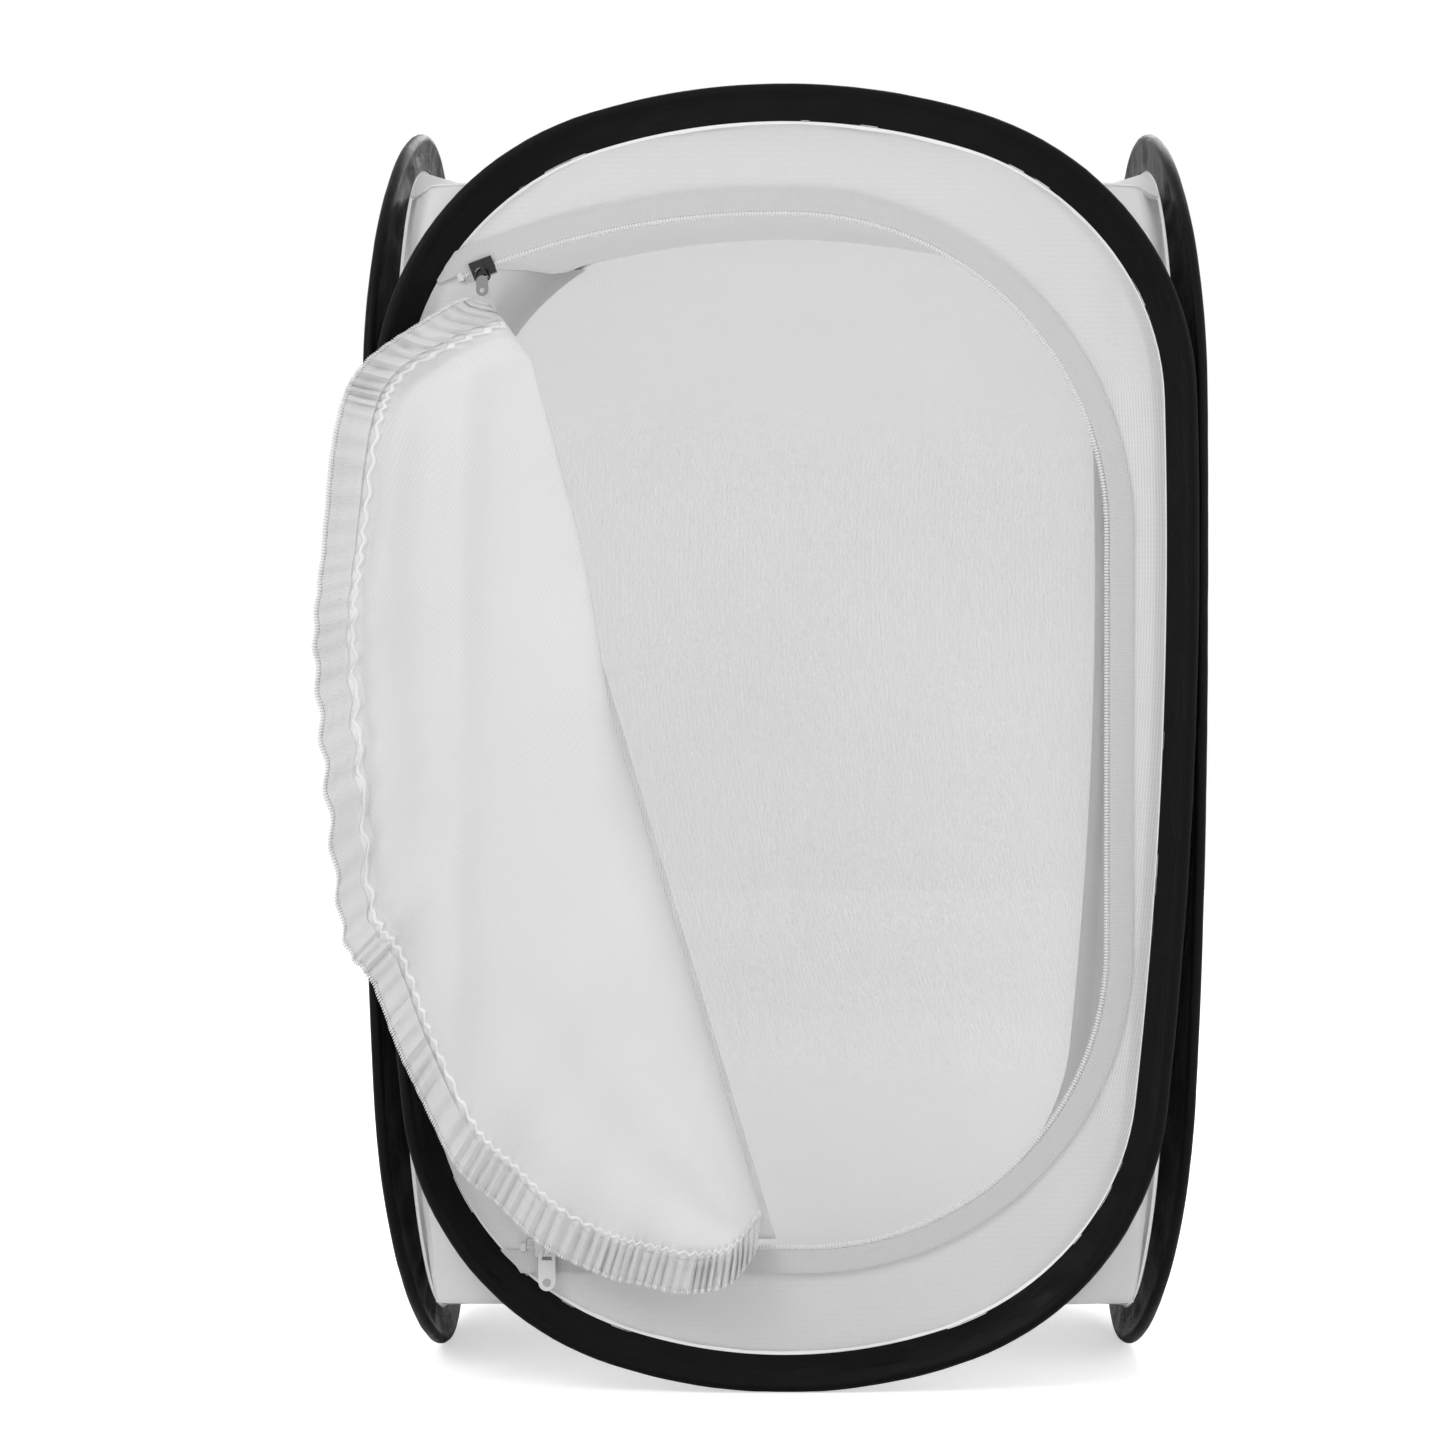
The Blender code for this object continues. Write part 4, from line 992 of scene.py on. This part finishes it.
def edge_place(share):
    """Outer edge of the flap in the face's plane, on a smooth line through its measured places."""
    last = len(EDGE) - 1
    index = min(int(share * last), last - 1)
    t = share * last - index
    picks = [EDGE[min(max(index + k, 0), last)] for k in (-1, 0, 1, 2)]
    pair = []
    for axis in (0, 1):
        a, b, c, d = (pick[axis] for pick in picks)
        square, cube = 2 * a - 5 * b + 4 * c - d, 3 * b - a - 3 * c + d
        pair.append((2 * b + (c - a) * t + square * t * t + cube * t ** 3) / 2)
    along, across = pair[0] * FOLD_LENGTH, pair[1] * FOLD_LENGTH
    across += 0.0013 * sin(2 * pi * 46 * share) * bell(share, 0.36, 0.09)
    return from_fold(along, across)


def root_place(share):
    """Where the flap leaves the fold line's seam."""
    return from_fold(FOLD_LENGTH * (ROOT_START + ROOT_RUN * share), SEAM)


def edge_reach(share):
    """Way from the root to the edge in the face's plane, and its length."""
    (u0, z0), (u1, z1) = root_place(share), edge_place(share)
    return u1 - u0, z1 - z0, hypot(u1 - u0, z1 - z0)


def wander(share):
    """Slow random shift of the pleats along the edge."""
    return 4.5 * rough(share * 21, 0, 0)


def flap_place(row, column):
    """The flap's surface: row runs down the fold line, column from the fold to the gathered edge."""
    root = root_place(row)
    run_u, run_z, reach = edge_reach(row)
    u, z = root[0] + run_u * column, root[1] + run_z * column
    away = (u - FOLD_TOP[0]) * ACROSS[0] + (z - FOLD_TOP[1]) * ACROSS[1]
    near = (1 - column) * reach

    wide = min(BELLY_WIDTH, 0.85 * reach)
    part = min(column * reach / wide, 1)
    fade = 1 - ramped(row, 0.24, 0.34)
    belly = BELLY * (wide / BELLY_WIDTH) * fade * fade * (3 - 2 * fade) * 6.75 * part * (1 - part) ** 2
    u, z = u - ACROSS[0] * belly, z - ACROSS[1] * belly
    bend = 1 - min(max(away - SEAM, 0) / ROLL_WIDTH, 1)
    rise = ROLL * (0.45 + 0.55 * min(row / 0.07, 1)) * sqrt(1 - bend ** 2)

    calm = min(row / 0.12, (1 - row) / 0.12, 1)
    slack = 0.0022 * calm * sin(6 * pi * column) * column
    slack += 0.0022 * column ** 4 * calm * sin(24 * pi * row)
    slack += 0.0022 * calm * column * rough(u * 13, z * 4.5, 8.8)
    slack += 0.0008 * calm * column * rough(u * 45, z * 16, 2.2)
    ridge = 0.0052 * calm * exp(-((u + 0.150 + 0.012 * (row - 0.5)) / 0.010) ** 2)

    band = min(row / 0.03, (1 - row) / 0.03, 1)
    gather = min(max(1.9 - near / BAND, 0), 1) * band
    fullness = 0.45 + 0.55 * (ramped(row, 0.42, 0.16) + min(max((0.20 - row) / 0.06, 0), 1))
    waves = sin(2 * pi * PLEATS * row + wander(row)) + 0.9 * rough(row * 210, column * 5, 1)
    pleat = 0.0013 * fullness * gather * waves
    seam = 0.0007 * band * bell(near, BAND_SEAM, 0.0011)
    widen = 0.0034 + 0.0030 * ramped(z, 0.36, 0.12)
    valley = min(0.0044, 0.5 * rise) * bell(near, BAND_SEAM + widen, widen)
    valley *= ramped(z, 0.17, 0.08) * min(row / 0.06, 1)
    depth = face_depth(z) + 0.0011 + rise + slack + pleat + ridge - seam - valley
    return Vector((u, -depth, z))


def cut_of(name, rows, area):
    """Width and length of the cloth that rows of points lay out, with its small ripples left in."""
    width, length = max(map(run_of, rows)), max(map(run_of, zip(*rows)))
    print(name, "cut", round(width, 4), round(length, 4), "area share", round(area / width / length, 3))
    return width, length


row_shares = [i / FLAP_ROWS for i in range(FLAP_ROWS + 1)]
column_shares = [(j / FLAP_COLUMNS) ** 1.25 for j in range(FLAP_COLUMNS + 1)]
flap_rows = [[flap_place(row, column) for column in column_shares] for row in row_shares]
flap, flap_area = cloth("door_flap_cloth", flap_rows, door_net, "door", NET_GAUGE)
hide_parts("door_flap")
print("flap rows:", len(flap_rows), "columns:", len(column_shares))

# %% [markdown]
# ## The door's half of the zip
# The tape lies on the flap's outer 13 mm, and the teeth on its very edge. A raised seam runs along
# the tape's inner edge, where the netting is gathered. All of them follow the pleats.

# %% Door tape, seam and teeth
DOOR_TAPE, DOOR_TAPE_GAUGE = 0.013, 0.0005
SEAM_RIDGE = ((-0.0008, 0.0004), (0, 0.0009), (0.0008, 0.0004))
band_rows, seam_rows, edge_places = [], [], []
for row in row_shares:
    run_u, run_z, reach = edge_reach(row)
    outward = Vector((run_u, 0, run_z)).normalized()
    edge = flap_place(row, 1)
    line = []
    for k in range(6):
        place = flap_place(row, max(1 - DOOR_TAPE * (1 - k / 5) / reach, 0.02))
        line.append(place + OUT * (0.0011 + 0.0002 * sin(pi * k / 5)))
    band_rows.append(line + [edge + outward * 0.0009 + OUT * 0.0004])
    edge_places.append([edge + OUT * 0.0010 + outward * 0.0015, outward, None, OUT])
    inner = min(0.0163 + 0.0009 * sin(2 * pi * PLEATS * row + wander(row)), 0.9 * reach)
    seam_rows.append([flap_place(row, 1 - (inner + side) / reach) + OUT * lift
                      for side, lift in SEAM_RIDGE])
for i, place in enumerate(edge_places):
    ahead = edge_places[min(i + 1, FLAP_ROWS)][0]
    behind = edge_places[max(i - 1, 0)][0]
    place[2] = (ahead - behind).normalized()
band, band_area = cloth("door_zip_tape", band_rows, white_tape, "door", DOOR_TAPE_GAUGE)
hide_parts("zip_door_tape")
seam_cord, _ = cloth("door_band_seam", seam_rows, hem_cloth, "door", HEM_GAUGE)
door_teeth = teeth_piece("door_zip_teeth", edge_places, "door")
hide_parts("zip_door_coil")
width, length = cut_of("door_flap_cloth", flap_rows, flap_area)
print("flap area, m2:", round(flap_area, 4), "door tape, m2:", round(band_area, 4))

# %% [markdown]
# ## Corner cloth
# The fabric box is square, the hoops are round, so cloth is left over outside every shoulder: it
# is the white triangle between two hoops. One strip runs down each upright corner, sewn into both
# sleeves, and it is also the hinge on which the cage folds. It is tight in the middle and
# wrinkled at its ends, where the box's corner is pulled in.

# %% Corner strips
TOP_CORNER, FLOOR_CORNER = 0.163, 0.161
TOP_RIM, FLOOR_RIM = 0.555, 0.040
CLOTH_GAUGE = 0.0003
STRIP_LOW, STRIP_HIGH, STRIP_STEPS = 0.0394, 0.5558, 96
UNDER_SLEEVE = 0.006
IN_CORNER = Vector((-1, 1, 0)).normalized()


def corner_place(z):
    """Distance, in x and in y alike, of the box's upright corner edge."""
    reach, end = (TOP_CORNER, TOP_RIM) if z > WIDEST else (FLOOR_CORNER, FLOOR_RIM)
    share = ramped(z, WIDEST, end - WIDEST)
    seam = FACE_DEPTH - 0.0017
    return seam + (reach - seam) * share ** 2


def corner_rows(seed, shares):
    """Rows of the strip in the front right corner, from the front sleeve (0) to the right one (1)."""
    rows = []
    for step in range(STRIP_STEPS + 1):
        z = STRIP_LOW + (STRIP_HIGH - STRIP_LOW) * step / STRIP_STEPS
        sewn = sewn_edge(z)
        depth = -sewn.y - 0.0018
        corner = min(corner_place(z), depth)
        start = Vector((sewn.x - UNDER_SLEEVE, -depth, z))
        knee = Vector((corner, -corner, z))
        end = Vector((depth, -(sewn.x - UNDER_SLEEVE), z))
        slack = min(abs(z - 0.30) / 0.25, 1) ** 2
        row = []
        for share in shares:
            if share <= 0.5:
                point = start.lerp(knee, share * 2)
            else:
                point = knee.lerp(end, share * 2 - 1)
            round_off = 0.0016 * max(0, 1 - abs(share - 0.5) / 0.12)
            loose = sin(pi * min(abs(share - 0.5) * 2, 1)) * slack
            crumple = loose * (0.0035 * rough(share * 5 + seed, z * 26, seed)
                               + 0.0014 * rough(share * 11 + seed, z * 60 + share * 40, seed + 4))
            row.append(point + IN_CORNER * (round_off + max(crumple, -0.0006) + 0.0006 * loose))
        rows.append(row)
    return rows


def corner_piece(name, turn, shares, nodes, body=None):
    """One strip of corner cloth, sewn into its sleeves."""
    rows = [[turned(p, turn) for p in row] for row in corner_rows(turn * 3.7 + 1, shares)]
    piece, area = cloth(name, rows, white_cloth, body, CLOTH_GAUGE)
    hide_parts(*nodes)
    _, length = cut_of(name, rows, area)
    return piece


WHOLE = [k / 24 for k in range(25)]
NEAR, INNER = 0.178, 0.166
PARTS = ("top_gusset", "corner_seam", "bottom_gusset")
corners = (
    ("front_right", 0, ("front_frame", "right_side"), (INNER, -NEAR), (NEAR, -INNER)),
    ("back_left", 2, ("back_side", "left_side"), (-INNER, NEAR), (-NEAR, INNER)),
    ("front_left", 3, ("left_side", "front_frame"), (-NEAR, -INNER), (-INNER, -NEAR)),
)
for corner, turn, (first, second), start, end in corners:
    names = [f"{corner}_{part}" for part in PARTS]
    strip = corner_piece(f"{corner}_corner_cloth", turn, WHOLE, names)
    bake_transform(strip)
halves = (("right_side", [s for s in WHOLE if s <= 0.5]), ("back_side", [s for s in WHOLE if s >= 0.5]))
for body, shares in halves:
    names = [f"back_right_{part}" for part in PARTS]
    half_strip = corner_piece(f"back_right_cloth_{body}", 1, shares, names, body)
    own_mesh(half_strip)
print("corner strips:", len(corners) + len(halves))

# %% [markdown]
# ## Top and floor
# Both are square pieces of plain cloth, sewn along the four crowns and the four bases. The top
# sags a little between the crowns; the floor lies on the table. When the cage folds they crumple
# towards the hoops, so each is made of four triangles that meet in the middle, one for each hoop,
# and every triangle moves with its own hoop.

# %% Top and floor
LID_ROWS, LID_COLUMNS = 30, 40
RIM_GAP = 0.0016
LIDS = {
    True: (CROWN - TAPE - RIM_GAP, HEIGHT - CROWN, TOP_CORNER, TOP_RIM),
    False: (BASE - TAPE - RIM_GAP, BASE - FOOT_CUT, FLOOR_CORNER, FLOOR_RIM),
}


def rim_height(u, top):
    """Height of the lid's edge under the sleeve, at a distance from its middle."""
    radius, centre, _, rim = LIDS[top]
    bow = sqrt(max(radius ** 2 - u ** 2, 0))
    return max(centre + bow, rim) if top else min(centre - bow, rim)


def rim_reach(u, top):
    """How far out the lid's edge lies: straight along the face, then drawn to the corner."""
    radius, centre, corner, rim = LIDS[top]
    middle = face_depth(rim_height(0, top)) - 0.0010
    bend = sqrt(radius ** 2 - (rim - centre) ** 2)
    if abs(u) <= bend:
        return middle
    return middle + (corner - middle) * (abs(u) - bend) / (corner - bend)


def lid_place(a, b, top, turn):
    """Surface of a lid at shares a and b of its half width and depth, turned into place."""
    corner = LIDS[top][2]
    x = a * (corner + (rim_reach(b * corner, top) - corner) * abs(a))
    y = b * (corner + (rim_reach(a * corner, top) - corner) * abs(b))
    low = rim_height(corner, top)
    height = rim_height(a * corner, top) + rim_height(b * corner, top) - low
    middle = 2 * rim_height(0, top) - low
    slack = (1 - a ** 2) * (1 - b ** 2)
    there = turned(Vector((x, y, 0)), turn)
    ripple = slack * rough(there.x * 14, there.y * 14, 5.0 if top else 9.0)
    if top:
        height -= (middle - rim_height(0, top) + 0.006) * slack
        folds = rough(there.x * 9, there.y * 42, 7.0) * (1 - a ** 4) * (1 - b ** 4)
        return Vector((there.x, there.y, height + 0.0016 * ripple + 0.0016 * folds))
    height -= (middle - 0.0004) * slack
    lying = ramped(max(abs(x), abs(y)), 0.080, 0.030)
    return Vector((there.x, there.y, max(height * lying + 0.0012 * max(ripple, 0), 0.0003)))


TOWARDS = {"front": (0, -1, 0), "right": (1, 0, 0), "back": (0, 1, 0), "left": (-1, 0, 0)}
lids = 0
for part, top, node_name in (("top", True, "top_panel"), ("floor", False, "floor_panel")):
    for face, (x, y, _) in TOWARDS.items():
        body, turn = FACES[face]
        rows = []
        for i in range(LID_ROWS + 1):
            t = 1 - i / LID_ROWS
            rows.append([lid_place((2 * k / LID_COLUMNS - 1) * t, -t, top, turn)
                         for k in range(LID_COLUMNS + 1)])
        name = f"{part}_cloth_{face}"
        piece, area = cloth(name, rows, white_cloth, body, CLOTH_GAUGE)
        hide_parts(node_name)
        width, length = cut_of(name, rows, area)
        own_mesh(piece)
        lids += 1
print("lid triangles:", lids)

# %% [markdown]
# ## Small metal and plastic parts
# The sliders, their pulls, the end stops, the spring wires and their crimped ferrules are already
# the right shape in the frame. They keep their meshes, and get real finishes and softened edges.

# %% Finishes of the hard parts
HARD = {
    "upper_slider": (black_lacquer, 0.0005), "lower_slider": (nickel_plate, 0.0004),
    "upper_pull_ring": (black_lacquer, 0), "upper_pull_tab": (chrome_plate, 0.0002),
    "lower_pull_tab": (clear_plastic, 0.00025),
    "upper_end_stop": (stop_plastic, 0.0003), "lower_end_stop": (stop_plastic, 0.0003),
}
for face in FACES:
    HARD[f"{face}_hoop_wire"] = (spring_steel, 0)
    HARD[f"{face}_wire_ferrule"] = (spring_steel, 0)
for name, (material, edge) in HARD.items():
    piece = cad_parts[name]
    for slot in piece.material_slots:
        slot.material = material
    if edge:
        soft = piece.modifiers.new("Edges", "BEVEL")
        soft.width = edge
        soft.segments = 2
        soft.limit_method = "ANGLE"
print("hard parts:", len(HARD))

# %% [markdown]
# ## Floor of the studio
# A wide pale sheet under the cage. It adds a little light of its own to what the camera sees, so
# that it reads as white, yet the cage's soft shadow stays on it.

# %% Studio floor
WIDE, UNDER = 6, -0.0004
floor_mesh = bpy.data.meshes.new("studio_floor")
floor_corners = [(x * WIDE, y * WIDE, UNDER) for x, y in ((-1, -1), (1, -1), (1, 1), (-1, 1))]
floor_mesh.from_pydata(floor_corners, [], [(0, 1, 2, 3)])
floor = bpy.data.objects.new("studio_floor", floor_mesh)
scene.collection.objects.link(floor)
floor_paint, floor_shader = finish("floor_paint", (0.86, 0.86, 0.86), 0.9)
paths = node(floor_paint, "ShaderNodeLightPath")
share = maths(floor_paint, "MULTIPLY", paths.outputs["Is Camera Ray"], 0.50)
floor_shader.inputs["Emission Color"].default_value = (1, 1, 1, 1)
wire(floor_paint, share, floor_shader.inputs["Emission Strength"])
floor_mesh.materials.append(floor_paint)
floor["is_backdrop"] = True
print("floor laid")

# %% [markdown]
# ## Sizes
# The dressed object must stay the size of the measured one, so both boxes are written down.

# %% Sizes
dressed_box = [list(corner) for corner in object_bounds()]
for label, box in (("measured", cad_box), ("dressed", dressed_box)):
    print(label, "size, mm:", [round((b - a) * 1000, 1) for a, b in zip(*box)])
